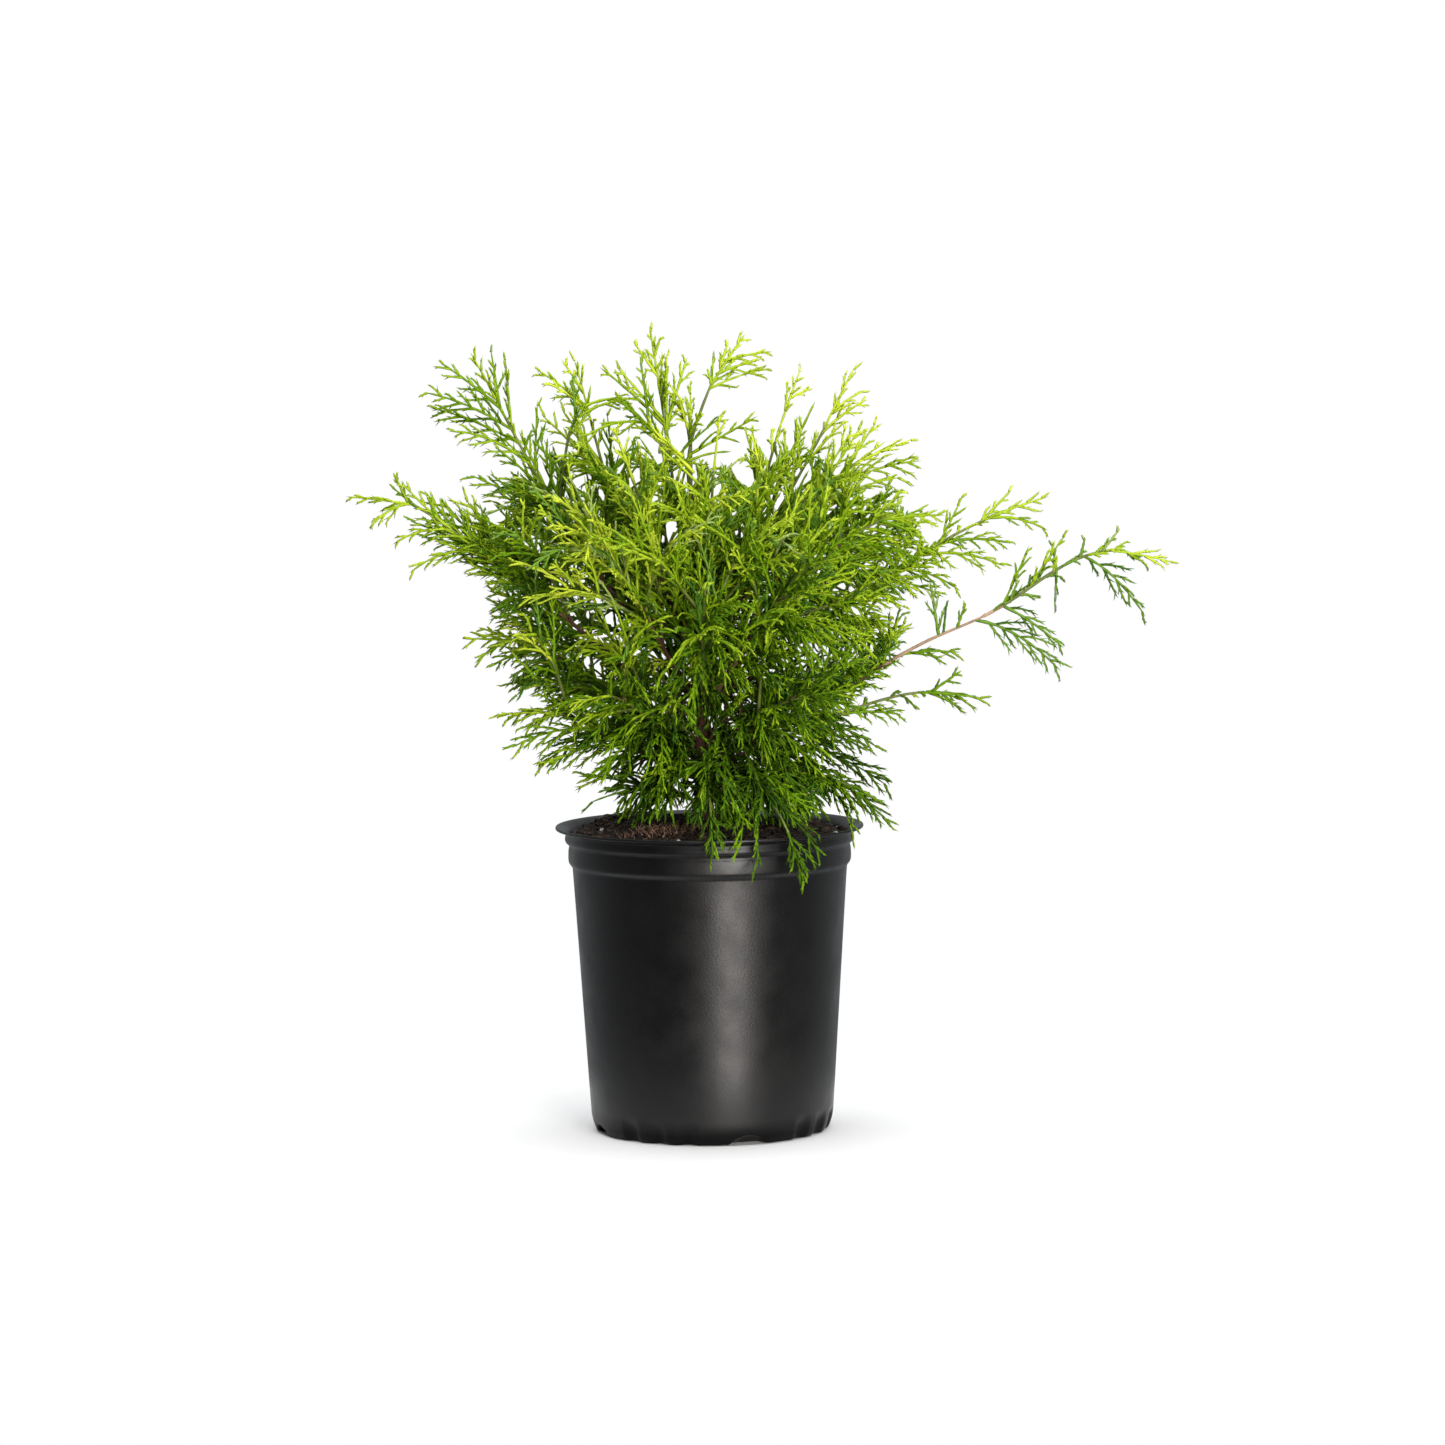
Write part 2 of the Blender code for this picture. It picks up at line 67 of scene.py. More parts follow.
# Camera: the photograph is a square of this many pixels
PHOTO_SIDE = 1445
PHOTO_FOCAL = 5254.0
SENSOR_WIDTH = 36.0
CAMERA_PLACE = (0.0076, -2.8, 0.4533)
CAMERA_DOWN = math.radians(4.79)
CAMERA_ROLL = math.radians(-0.6)

# Floor: a small round table top, so that the pot's leaning wall mirrors the dark beyond it
FLOOR_RADIUS = 0.17
FLOOR_SIDES = 96
FLOOR_COLOURS = ((0.84, 0.84, 0.84), (0.88, 0.88, 0.88))

# World: its faint light, and how strong that is from the front and from the back
WORLD_COLOUR = (0.92, 0.97, 1.0, 1.0)
WORLD_REACH = (-0.6, 0.8)
WORLD_STRENGTHS = (0.08, 0.5)

# Lights: name, place, what it faces, side of its square, power in watts, colour
LIGHTS = (
    ("top_light", (0.0, 0.0, 2.6), (0.0, 0.0, 0.0), 3.4, 125.0, (1.0, 1.0, 1.0)),
    ("upper_light", (0.8, -2.4, 0.55), (0.0, 0.0, 0.15), 1.0, 62.0, (1.0, 0.97, 0.94)),
    ("lower_light", (0.8, -2.4, -0.5), (0.0, 0.0, 0.1), 1.0, 38.0, (1.0, 0.94, 0.9)),
)

# Pot: radius and height in mm, over its flat underside, up its outside and down its inside
POT_SEGMENTS = 288
POT_SMOOTHING = 2
POT_FLAT_RADIUS = 52.0
POT_OUTSIDE = (
    (60.7, 0.0), (62.6, 1.1), (63.9, 4.4), (64.9, 8.2), (65.2, 12.5), (65.5, 17.0), (66.1, 26.0),
    (73.4, 140.5), (73.7, 142.3), (75.5, 144.4), (75.8, 146.5), (75.7, 151.4), (75.2, 153.2),
    (75.4, 154.2), (77.2, 155.6), (77.6, 157.4), (76.9, 160.0), (77.5, 160.9), (81.9, 162.2),
    (82.5, 162.6), (82.5, 163.6),
)
POT_INSIDE = (
    (82.0, 164.0), (79.4, 163.2), (75.9, 160.2), (73.6, 150.0), (71.7, 140.0), (63.0, 12.5), (54.0, 3.0),
)
POT_SHARP_FROM = math.radians(40.0)
POT_COLOURS = ((0.002, 0.002, 0.0023), (0.0036, 0.0033, 0.0031))
POT_ROUGHNESS = (0.33, 0.45)
# The pot's sheen, low at the foot as painted shade, and the heights over which it rises to full
POT_SHEEN_AND_FOOT_SHADE = (0.1, 0.35)
POT_FOOT_SHADE_HEIGHTS = (5.0 * MM, 13.0 * MM)
LIP_RADIUS = 82.5 * MM

# Foot: four arched drain notches, and shallow bays between them, with lengths in mm
NOTCH_ANGLE = math.radians(18.0)
NOTCH_COUNT = 4
NOTCH_HALF_WIDTH = math.radians(9.0)
NOTCH_HEIGHT = 4.6
NOTCH_STEP = 0.5
BAY_STEP = math.radians(15.0)
BAY_PLACES = (2, 3, 4)
BAY_DEPTH = 2.2
BAY_TOP = 10.0

# Soil
SOIL_MIDDLE = 166.0 * MM
SOIL_EDGE = 158.5 * MM
SOIL_LEVEL_RADIUS = 16.0 * MM
SOIL_RADIUS = 74.6 * MM
SOIL_FOOT = (74.0 * MM, 150.0 * MM)
SOIL_FALL = 1.6
SOIL_LUMP = 0.7 * MM
SOIL_HEAP_PLACE = (-48.0 * MM, 38.0 * MM)
SOIL_HEAP_REACH = 18.0 * MM
SOIL_HEAP_HEIGHT = 5.5 * MM
SOIL_HEAP_FADE = 3.0
SOIL_RINGS = 90
SOIL_SEGMENTS = 240

# Crumbs of the soil: size and fineness of each kind, and how high a crumb of size 1 is
CRUMBS = ((0.55, 0.16), (0.4, 0.45), (0.25, 1.1))
CRUMB_HEIGHT = 1.4 * MM

# On the soil: bark chips, perlite grains and a tuft of litter, whose place and reach are in mm.
# Widths, heights, what raises a piece and how a twig of the litter stands are shares of its size.
CHIPS = ("dark", "brown", "tan")
CHIP_COUNT = 2600
CHIP_REACH = 72.5 * MM
CHIP_LENGTHS = (0.5 * MM, 3.1 * MM)
CHIP_WIDTHS = (0.35, 0.7)
CHIP_HEIGHTS = (0.2, 0.45)
CHIP_VARIES = (0.55, 1.15)
CHIP_TILT = 0.35
CHIP_RAISED = 0.15
GRAIN_COUNT = 24
GRAIN_REACH = 72.0 * MM
GRAIN_SIZES = (0.6 * MM, 1.7 * MM)
GRAIN_WIDTHS = (0.7, 1.0)
GRAIN_HEIGHTS = (0.6, 0.9)
GRAIN_RELIEF = 0.35
GRAIN_RAISED = 0.3
LITTER_COUNT = 210
LITTER_PLACE = (-23.0, -36.0)
LITTER_REACH = (20.0, 13.0)
LITTER_LIMIT = 66.0 * MM
LITTER_LENGTHS = (3.0 * MM, 8.0 * MM)
LITTER_LEVEL = 0.5
LITTER_RISE = (0.3, 1.1)
LITTER_SIDEWAYS = 0.4
LITTER_DROOP = 0.3
BOX = np.array(list(product((-1.0, 1.0), repeat=3)))
BOX_FACES = np.array(
    [(0, 1, 3, 2), (4, 6, 7, 5), (0, 4, 5, 1), (2, 3, 7, 6), (0, 2, 6, 4), (1, 5, 7, 3)]
)

# Trunk
TRUNK_FOOT = Vector((-3.0, 0.0, 0.0)) * MM
TRUNK_LEAN = Vector((-9.0, 3.0, 0.0)) * MM
TRUNK_SWAY = Vector((3.0, -2.0, 0.0)) * MM
TRUNK_HEIGHT = 130.0 * MM
TRUNK_LOW_RADIUS = 4.7 * MM
TRUNK_TOP_RADIUS = 2.7 * MM
TRUNK_TAPER = 0.8
FLARE_RADIUS = 3.0 * MM
FLARE_HEIGHT = 7.0 * MM
TRUNK_SIDES = 40
TRUNK_SINK = 3.0 * MM
TRUNK_RELIEF = 0.2
TRUNK_STEPS = 20

# Boughs and stems. The share in bark, the pale part, the sink and the lap are shares of a length.
BOUGH_SIDES = 14
BOUGH_FOOT_RADIUS = 1.15 * MM
BOUGH_THICKENING = 0.0022
STEM_SIDES = 8
STEM_RADIUS = 0.95 * MM
STEM_END_RADIUS = 0.55 * MM
BARK_STEP = 1.3 * MM
FOOT_REACH = 2.5 * MM
PATH_PULL = 0.34
PATH_SAMPLES = 25
LENGTH_SAMPLES = 41
LIMB_SAMPLES = 9
BARK_SHARE = 0.12
PALE_PART = (0.36, 0.62)
LIMB_RELIEF = 0.14
FLAKE_FINENESS = (1.3, 0.16)
FURROW_FINENESS = (2.6, 0.5)
SWELL_FINENESS = 0.11
FURROW_PART = 0.5
SWELL_PART = 0.6
LIMB_SINK = 0.006
LIMB_LAP = 0.004
LONG_SLIMNESS = 0.64

# Sprays: each is a slim drooping axis on a stem, with laterals in one plane and nubs on them
ROOT_SPACING = 9.0 * MM
CROWDED_SPACING = 3.6 * MM
OPEN_SPACING = 5.2 * MM
CROWDED_FROM = 0.28
SHORT_SPRAY = 0.26
SPRAY_FIRST = 0.3
SPRAY_LENGTH = 50.0 * MM
SPRAY_VARIES = (0.45, 1.25)
SPRAY_ANGLE = math.radians(40.0)
ANGLE_VARIES = (0.7, 1.25)
SPRAY_DROOP = (0.8, 0.22)
SPRAY_LIFT = (0.1, 0.5)
SPRAY_LIFT_VARIES = (0.3, 1.4)
SPRAY_SHORTENING = (0.72, 1.0)
SPRAY_CROWDING = (0.7, 1.0)
SPRAY_SWELL = (0.9, 1.5)
LIFT_HEIGHTS = (195.0 * MM, 310.0 * MM)
SPRAY_BEND = 0.16
HANG_LIMIT = 167.0 * MM
SPRAY_TWIST = math.radians(137.5)
SPRAY_ROLL = math.radians(40.0)
SPRAY_SCALES = (1.0, 0.8, 0.62, 0.48)
SPRAY_TURNS = (0.0, 0.7, -0.7)
SPRAY_ROOM = 2.0 * MM
SPRAY_TESTS = np.arange(0.15, 1.01, 0.12)
END_SPRAY_SHARE = 0.7
END_ROLL = (0.5, 1.1)
STEM_LEAST = 0.3
END_SINK = 3.0 * MM
END_DROOP = 0.08
END_REACH = 0.97
MASS_OVERLAP = 14.0 * MM
BOX_ROOM = 4.0 * MM
SIDE_TURN = math.radians(38.0)
WOODY_UNTIL = 0.22

# Short leafy shoots wind up the trunk and fill the middle of the crown: lengths in mm, pitches in
# degrees
INNER_COUNT = 42
INNER_HEIGHTS = (12.0, 122.0)
INNER_REACH = (58.0, 46.0)
INNER_VARIES = (0.7, 1.1)
INNER_RISE = (26.0, 54.0)
INNER_PITCHES = (40, -10)
INNER_GOLD = -0.05

# Side boughs leave a bough by turns round it, lean up and then outward, and fill the crown. They
# are shortened in the same steps as sprays. The tip is given by shares of the length: onward,
# outward and down.
SIDE_BOUGH_PLACES = (0.16, 0.66)
SIDE_BOUGH_SPACING = 14.5 * MM
SIDE_BOUGH_APART = (0.2, 0.8)
SIDE_BOUGH_GOLD = 0.05
SIDE_BOUGH_LENGTHS = (92.0 * MM, 50.0 * MM)
SIDE_BOUGH_ANGLE = math.radians(44.0)
SIDE_BOUGH_LIFTS = (0.16, 0.42)
SIDE_BOUGH_VARIES = (0.75, 1.15)
SIDE_BOUGH_TIP = (0.8, 0.22, 0.04)
SIDE_BOUGH_PULLS = (0.4, 0.3)
SIDE_BOUGH_DIP = 0.2
SIDE_BOUGH_ROOM = 1.5 * MM
SIDE_BOUGH_TESTS = (0.3, 0.5, 0.7, 0.85, 1.0)
SIDE_BOUGH_SPRAYS = 5.2 * MM
SIDE_SPRAYS_FROM = 0.15
SIDE_SPRAYS_PART = 0.75
SIDE_SPRAYS_SIZE = 0.85
SIDE_BOUGH_RADIUS = 0.95 * MM

# The crown's body in mm: height, how far it reaches left and right, and how far to front and back
BODY = np.array((
    (150, -40, 60, 70), (174, -46, 66, 82), (194, -56, 69, 86), (213, -84, 72, 92), (233, -106, 86, 98),
    (252, -113, 100, 104), (272, -118, 110, 110), (291, -122, 118, 114), (310, -126, 128, 116),
    (330, -130, 122, 110), (345, -116, 106, 98), (358, -102, 84, 84), (372, -88, 40, 62),
    (388, -66, 0, 40), (402, -50, -14, 20), (420, -38, -20, 8),
)) * MM

# A spray shortened to this scale or less may leave the body, by this chance
OUTSIDE_SCALE = 0.5
OUTSIDE_CHANCE = 0.55

# Sight lines left open from the front: how ragged their edges are, and for each its middle (right,
# up) and half its width and height in mm
SKY_RAGGED = 0.5
SKY_RIPPLE = 1.1 * MM
SKY = np.array((
    (6, 366, 17, 10), (-19, 322, 6.5, 7), (17.5, 321, 4.5, 6.5), (-16, 352, 5, 3.5), (88, 347, 6, 5),
    (30, 392, 12, 8), (5, 392, 9, 8), (60, 385, 8, 8), (-112, 330, 5, 4), (-54, 398, 5, 6),
    (-48, 384, 3, 5), (-78, 369, 3.5, 5), (-88, 354, 6, 9), (-107, 352.5, 3.5, 3.5),
    (-76, 344, 2.5, 3.5), (-62.5, 379, 2.5, 5), (-54, 368, 3, 4), (-33, 374, 2, 4), (-34, 391, 2.5, 4),
    (-40, 405.5, 3.5, 7), (-26.5, 402, 3, 7), (-24, 380, 2, 4.5), (-10.5, 368, 5, 3.5),
    (-25, 348, 2.5, 2.5), (-66, 348, 2, 5), (86, 359, 6, 6.5), (71, 352.5, 3.5, 3), (97.5, 367, 4, 5),
    (89, 320.5, 5, 3.5), (71.5, 290.5, 4, 4.5), (79, 278.5, 3.5, 5.5), (67, 331, 2, 4),
    (32, 331.5, 2.5, 4.5), (-52, 275, 2.5, 5), (-30, 259, 2.5, 3.5), (-59, 248.5, 2.5, 3),
    (-9, 183.5, 3, 5), (-43, 183.5, 5.5, 7.5), (-63, 179, 9, 7), (-32, 196, 2.5, 3.5),
    (17.5, 352.5, 3, 4), (40, 335, 3, 3), (52, 350, 4, 5.5),
)) * MM

# Small openings all through the upper crown: the middle of its oval (right, up) and half its width
# and height, how widely the two waves that make them run, and how high both have to be together.
WEAVE_OVAL = (-15.0 * MM, 362.0 * MM, 98.0 * MM, 42.0 * MM)
WEAVE_ACROSS = 2.4 * MM
WEAVE_UPWARD = 3.6 * MM
WEAVE_LIMIT = 1.08

# Laterals and nubs: spacing, length as a share of what carries them, and the rest of their rule
LATERAL_SPACINGS = (3.5 * MM, 4.3 * MM)
LATERAL_SHARES = (0.44, 0.31)
LATERAL = {
    "places": (0.08, 0.96), "taper": (1.15, 0.35), "angle": math.radians(30.0), "sag": 0.22,
    "limits": (3.5 * MM, 17.0 * MM),
}
NUB_SPACING = 2.5 * MM
NUB_SHARE = 0.3
NUB = {
    "places": (0.2, 0.9), "taper": (1.0, 0.8), "angle": math.radians(33.0), "sag": 0.06,
    "limits": (1.9 * MM, 4.2 * MM),
}
FORWARD_BEND = 0.22
PLACE_VARIES = 0.4
LEAN_VARIES = (0.65, 1.35)
LIFT_SPREAD = 0.2
SIZE_VARIES = (0.6, 1.3)
SAG_VARIES = (0.4, 1.6)
LATERAL_ROOM = 1.0 * MM
NUB_ROOM = 0.5 * MM

# Threads: width and depth of their rings by turns, and then half width, rings, sides and the share
# of it at the end
THREAD_RINGS = ((0.85, 1.0), (1.2, 0.75))
AXIS_FORM = (0.9 * MM, 8, 4, 0.55)
WOODY_FORM = (0.9 * MM, 7, 3, 0.5)
LATERAL_FORM = (0.88 * MM, 4, 3, 0.62)
NUB_FORM = (0.78 * MM, 1, 3, 1.0)
LITTER_FORM = (0.3 * MM, 3, 3, 0.6)

# Each shoot: name, tip (right, back, up) in mm, height of its foot above the soil in mm,
# pitch in degrees at its foot and at its tip, the bare share of it that is its bough,
# and how much yellower its foliage is than its height alone makes it.
SHOOTS = (
    ("crown_top", (-29, -6, 431), 130, 84, 80, 0.0, -0.05),
    ("upper_mid", (22, 14, 426), 121, 62, 38, 0.30, -0.04),
    ("upper_left", (-70, 12, 415), 106, 44, 74, 0.28, -0.04),
    ("upper_right", (82, 18, 410), 110, 42, 62, 0.28, 0.08),
    ("upper_right_front", (51, -40, 409), 101, 44, 62, 0.28, 0.09),
    ("upper_back", (-8, 74, 400), 99, 44, 60, 0.28, 0.0),
    ("upper_front_left", (-48, -66, 380), 95, 42, 50, 0.28, 0.08),
    ("upper_front", (8, -74, 386), 84, 44, 50, 0.28, 0.09),
    ("upper_back_right", (60, 72, 388), 86, 42, 50, 0.28, 0.0),
    ("upper_back_left", (-74, 68, 384), 88, 42, 50, 0.28, 0.0),
    ("fan_left", (-124, -12, 418), 79, 40, 62, 0.42, -0.29),
    ("shoulder_right", (112, -12, 370), 93, 42, 8, 0.30, 0.08),
    ("reaching_right", (184, 18, 337), 60, 32, 14, 0.42, 0.12),
    ("arching_right", (126, -36, 330), 76, 36, -14, 0.28, 0.03),
    ("long_right", (249, -8, 302), 44, 3, -26, 0.58, 0.16),
    ("long_left", (-191, -14, 342), 56, 28, -10, 0.40, -0.12),
    ("bright_front_left", (-80, -98, 330), 69, 36, -6, 0.30, 0.35),
    ("middle_front_right", (74, -100, 312), 62, 36, -6, 0.30, 0.03),
    ("middle_front", (0, -114, 300), 52, 36, -14, 0.30, 0.04),
    ("middle_left", (-132, 14, 264), 40, 26, -14, 0.30, 0.10),
    ("middle_back_left", (-98, 84, 318), 65, 36, -2, 0.30, 0.0),
    ("middle_back", (8, 114, 310), 50, 36, -6, 0.30, 0.0),
    ("middle_back_right", (98, 84, 318), 70, 36, -2, 0.30, 0.0),
    ("low_right", (149, 10, 229), 30, 14, -20, 0.28, 0.05),
    ("low_left", (-113, -24, 226), 24, 16, -22, 0.0, 0.10),
    ("low_front_left", (-72, -88, 236), 35, 26, -26, 0.0, 0.04),
    ("low_front_right", (78, -86, 232), 40, 26, -26, 0.0, 0.0),
    ("low_back_left", (-78, 84, 228), 31, 24, -26, 0.0, 0.0),
    ("low_back_right", (76, 86, 226), 36, 24, -26, 0.0, 0.0),
    ("rim_left", (-65, -46, 179), 11, 18, -40, 0.0, 0.02),
    ("rim_front", (2, -98, 153), 19, 32, -72, 0.0, 0.04),
    ("rim_front_right", (50, -90, 137), 26, 34, -76, 0.0, 0.05),
    ("rim_right", (98, -22, 162), 17, 36, -68, 0.0, 0.05),
    ("rim_back", (-14, 94, 176), 13, 26, -50, 0.0, 0.0),
)

# Sprays are crowded up to the first share of a shoot and sparse from the second, where each is long
# by a chance. These are the usual three values, and those of the shoots that differ.
USUAL_PARTS = (0.58, 0.58, 0.5)
OPEN_PARTS = {
    "crown_top": (0.4, 0.4, 0.25),
    "upper_mid": (0.4, 0.55, 0.2),
    "upper_left": (0.5, 0.5, 0.25),
    "upper_right": (0.45, 0.5, 0.2),
    "upper_right_front": (0.45, 0.5, 0.2),
    "fan_left": (0.45, 0.45, 0.15),
    "shoulder_right": (0.48, 0.48, 0.25),
    "reaching_right": (0.5, 0.5, 0.0),
    "arching_right": (0.6, 0.6, 0.35),
    "long_right": (0.38, 0.6, 0.0),
    "long_left": (0.64, 0.64, 0.3),
    "middle_left": (0.55, 0.55, 0.3),
    "low_right": (0.42, 0.45, 0.0),
    "low_left": (0.5, 0.5, 0.25),
    "rim_left": (0.4, 0.4, 0.2),
}

# Bends of a shoot's path: where along it, how far each way they reach, and how far they go (right,
# back, up) in mm
BENDS = {
    "long_right": (0.61, 0.15, (0.0, 0.0, -11.0)),
    "long_left": (0.60, 0.20, (0.0, 0.0, -10.0)),
    "upper_mid": (0.45, 0.24, (-11.0, 0.0, 0.0)),
}

# Side shoots that draw the crown's outline, by what carries them: share along it in percent, tip
# (right, back, up) in mm, and droop in percent. Their order is that of the random draws.
SIDE_SHOOTS = (
    ("crown_top", (80, -38, 0, 423, 0), (88, -23, -8, 425, 0), (62, -47, -8, 410, 0),
     (60, -56, 4, 409, 12), (58, -9, 3, 414, 10), (56, -20, -6, 416, 0), (45, 10, -8, 383, 15),
     (42, 14, 8, 363, 35)),
    ("upper_mid", (84, 13, 8, 422, 0), (76, 5, 16, 417, 0), (86, 36, 16, 416, 10), (80, 30, 7, 412, 12),
     (74, 36, 17, 407, 20), (50, 28, 5, 382, 0)),
    ("upper_left", (88, -76, 7, 413, 0), (82, -90, 15, 408, 12), (80, -85, 5, 401, 30),
     (62, -77, 14, 387, 0)),
    ("fan_left", (84, -113, -15, 420, 0), (78, -106, -5, 417, -5), (84, -141, -6, 413, 10),
     (78, -149, -14, 397, 22), (74, -147, -4, 389, 15), (68, -136, -12, 376, 40), (66, -89, -1, 392, 0),
     (60, -112, -12, 368, 10), (52, -125, -13, 353, 5)),
    ("long_left", (82, -167, -8, 347, 0), (72, -162, -13, 350, -10), (66, -150, -5, 345, -10),
     (84, -179, -16, 325, 40), (72, -167, -6, 316, 40), (64, -158, -13, 301, 50), (52, -142, -3, 340, 0),
     (46, -129, -12, 342, 0), (46, -133, -2, 311, 15), (40, -129, -11, 307, 10), (34, -118, 0, 291, 10),
     (30, -116, -10, 284, 15)),
    ("middle_left", (80, -123, 15, 270, 5), (78, -125, 7, 251, 30), (66, -118, 14, 248, 30),
     (50, -113, 2, 280, 10), (46, -106, 11, 239, 30)),
    ("low_left", (76, -109, -15, 221, 35), (66, -99, -21, 218, 30), (46, -105, -24, 208, 40),
     (40, -92, -6, 195, 50), (34, -87, -15, 197, 40)),
    ("rim_left", (40, -70, -15, 192, 20), (62, -59, -35, 185, 20), (48, -47, -30, 169, 60),
     (16, -40, -46, 168, 40)),
    ("low_right", (80, 136, 4, 245, 0), (78, 136, 13, 228, 30), (46, 104, 10, 221, 20),
     (38, 91, -2, 204, 35), (32, 86, 9, 201, 35), (20, 97, -6, 183, 40)),
    ("long_right", (26, 104, -6, 263, 10), (22, 98, 6, 256, 20), (20, 97, -12, 248, 30),
     (40, 135, -1, 255, 15), (48, 119, -7, 294, -10), (49, 128, -1, 283, 0), (52, 138, -7, 282, 0),
     (56, 189, -2, 244, 40), (62, 190, -8, 257, 20), (62, 172, -2, 312, -10), (68, 191, -9, 318, 5),
     (74, 184, -2, 313, -10), (74, 185, -8, 277, 20), (80, 234, -3, 273, 40), (84, 220, -10, 321, 0),
     (88, 235, -4, 300, 30)),
    ("reaching_right", (70, 138, 9, 340, -10), (82, 164, 17, 341, 0), (84, 183, 12, 319, 35),
     (70, 164, 16, 312, 25), (64, 160, 7, 300, 35), (58, 136, 14, 287, 35), (52, 127, 5, 284, 35)),
    ("arching_right", (66, 105, -19, 343, 0), (80, 116, -32, 316, 35), (60, 108, -16, 302, 35),
     (52, 112, -28, 289, 35), (46, 104, -12, 282, 30), (40, 100, -30, 268, 30), (34, 97, -18, 258, 25)),
    ("shoulder_right", (70, 91, -12, 379, 0), (66, 96, -3, 368, 10), (62, 115, -13, 358, 25),
     (52, 105, -1, 349, 25)),
    ("upper_right", (82, 86, 12, 395, 20), (74, 87, 18, 390, 20), (62, 75, 9, 379, 10)),
    ("upper_right_front", (88, 57, -32, 397, 20), (84, 44, -37, 402, 0)),
    ("middle_front", (14, -14, -50, 226, 40), (20, 12, -58, 232, 40), (28, -26, -64, 236, 50),
     (34, 22, -74, 240, 50), (42, -8, -88, 234, 60), (52, 10, -100, 246, 60)),
    ("middle_front_right", (16, 22, -48, 240, 40), (24, 40, -62, 238, 50)),
    ("bright_front_left", (16, -30, -46, 250, 30), (24, -46, -56, 248, 40)),
    ("low_front_left", (10, -22, -52, 196, 50), (14, -36, -57, 171, 50), (20, -29, -62, 174, 50),
     (12, -24, -50, 172, 50)),
    ("rim_left", (30, -40, -50, 173, 40), (52, -50, -28, 172, 60), (40, -43, -30, 172, 60)),
    ("low_front_left", (16, -38, -62, 186, 60), (22, -14, -64, 206, 50), (34, -30, -80, 205, 60)),
    ("low_front_right", (8, 10, -48, 200, 50), (14, 26, -62, 190, 60), (22, 44, -60, 196, 50),
     (32, 30, -82, 206, 60)),
    ("rim_front", (10, -16, -44, 182, 40), (22, 14, -58, 183, 40), (36, -8, -70, 178, 50),
     (46, 12, -80, 172, 50)),
    ("rim_front_right", (12, 30, -40, 184, 40), (24, 46, -44, 178, 40)),
    ("long_left", (50, -146, -12, 328, 20), (46, -138, 4, 333, 10), (56, -152, -8, 320, 35),
     (44, -132, -14, 322, 30), (60, -158, 2, 328, 20), (40, -124, 6, 332, 10), (36, -118, -10, 326, 20),
     (66, -128, -10, 334, 10), (58, -121, 8, 327, 20), (70, -138, 5, 322, 30), (54, -116, -12, 319, 30),
     (74, -146, 0, 334, 10), (62, -131, -6, 312, 40)),
    ("reaching_right", (50, 128, -4, 304, 30), (46, 122, 6, 312, 15)),
    ("arching_right", (70, 124, -26, 306, 30)),
    ("reaching_right", (62, 119, 0, 313, 20), (66, 126, -8, 307, 20), (58, 114, 8, 305, 20)),
    ("rim_left", (10, -30, -30, 182, 30), (20, -46, -14, 186, 30)),
    ("rim_front", (72, 8, -88, 160, 40)),
    ("rim_front_right", (45, 25, -85, 146, 70), (40, 16, -84, 158, 60), (60, 59, -66, 152, 50)),
    ("rim_right", (55, 77, -38, 158, 60), (60, 80, -30, 167, 50), (30, 90, -4, 174, 30)),
    ("middle_front", (10, -6, -44, 236, 30), (16, -1, -52, 226, 50), (22, 5, -60, 216, 70),
     (26, -10, -60, 218, 70)),
    ("low_front_left", (20, -9, -58, 214, 40), (12, -14, -46, 204, 50)),
    ("low_front_right", (16, 3, -54, 212, 40), (26, 16, -66, 214, 50)),
    ("middle_front_right", (30, 66, -52, 244, 40), (38, 80, -60, 254, 30), (46, 86, -72, 262, 30)),
    ("low_front_right", (52, 78, -52, 240, 10)),
    ("arching_right", (30, 74, -34, 252, 30), (26, 60, -36, 246, 40)),
    ("long_left", (30, -96, -24, 268, 30), (24, -80, -22, 258, 40)),
    ("middle_left", (34, -74, -16, 250, 30)),
    ("fan_left", (56, -99, -8, 376, 0), (50, -88, -14, 374, 0), (46, -87, -2, 360, 10)),
    ("upper_left", (56, -88, 18, 384, 10)),
    ("fan_left", (42, -112, -4, 344, 10), (48, -106, -16, 352, 10)),
    ("shoulder_right", (55, 84, -6, 378, 0), (46, 77, -20, 374, 0)),
    ("arching_right", (56, 107, -30, 318, 15), (48, 103, -22, 308, 20), (62, 113, -36, 304, 30)),
    ("middle_front_right", (34, 44, -68, 262, 30), (42, 62, -72, 268, 30), (50, 56, -86, 254, 50)),
    ("low_front_right", (36, 50, -56, 250, 10), (44, 66, -60, 246, 10)),
    ("middle_front", (24, 16, -56, 258, 20), (30, -16, -66, 262, 20), (48, 24, -84, 262, 40)),
    ("low_left", (28, -62, -24, 190, 40)),
    ("low_front_left", (30, -58, -52, 196, 40)),
    ("rim_left", (30, -55, -28, 192, 20)),
    ("low_left", (58, -92, -18, 238, 10), (46, -84, -24, 234, 10)),
    ("middle_left", (42, -90, 4, 240, 40)),
)

# Kinds of twig
WARM, WOODY, COOL = range(3)
COOL_CHANCE = 0.17
COOL_TO_RIGHT = 0.0007 / MM
# Share of the long right shoot's sprays that take the cool greens: painted backlight, pale and greyed up
# to sage
BACKLIT_SAGE_CHANCE = 0.6

# Foliage colours on the screen, from the shaded inside to the golden tips
GREENS = {
    "shaded": (52, 78, 8),
    "deep": (72, 104, 11),
    "green": (102, 138, 15),
    "bright": (133, 162, 28),
    "lime": (155, 180, 42),
    "gold": (181, 198, 56),
}
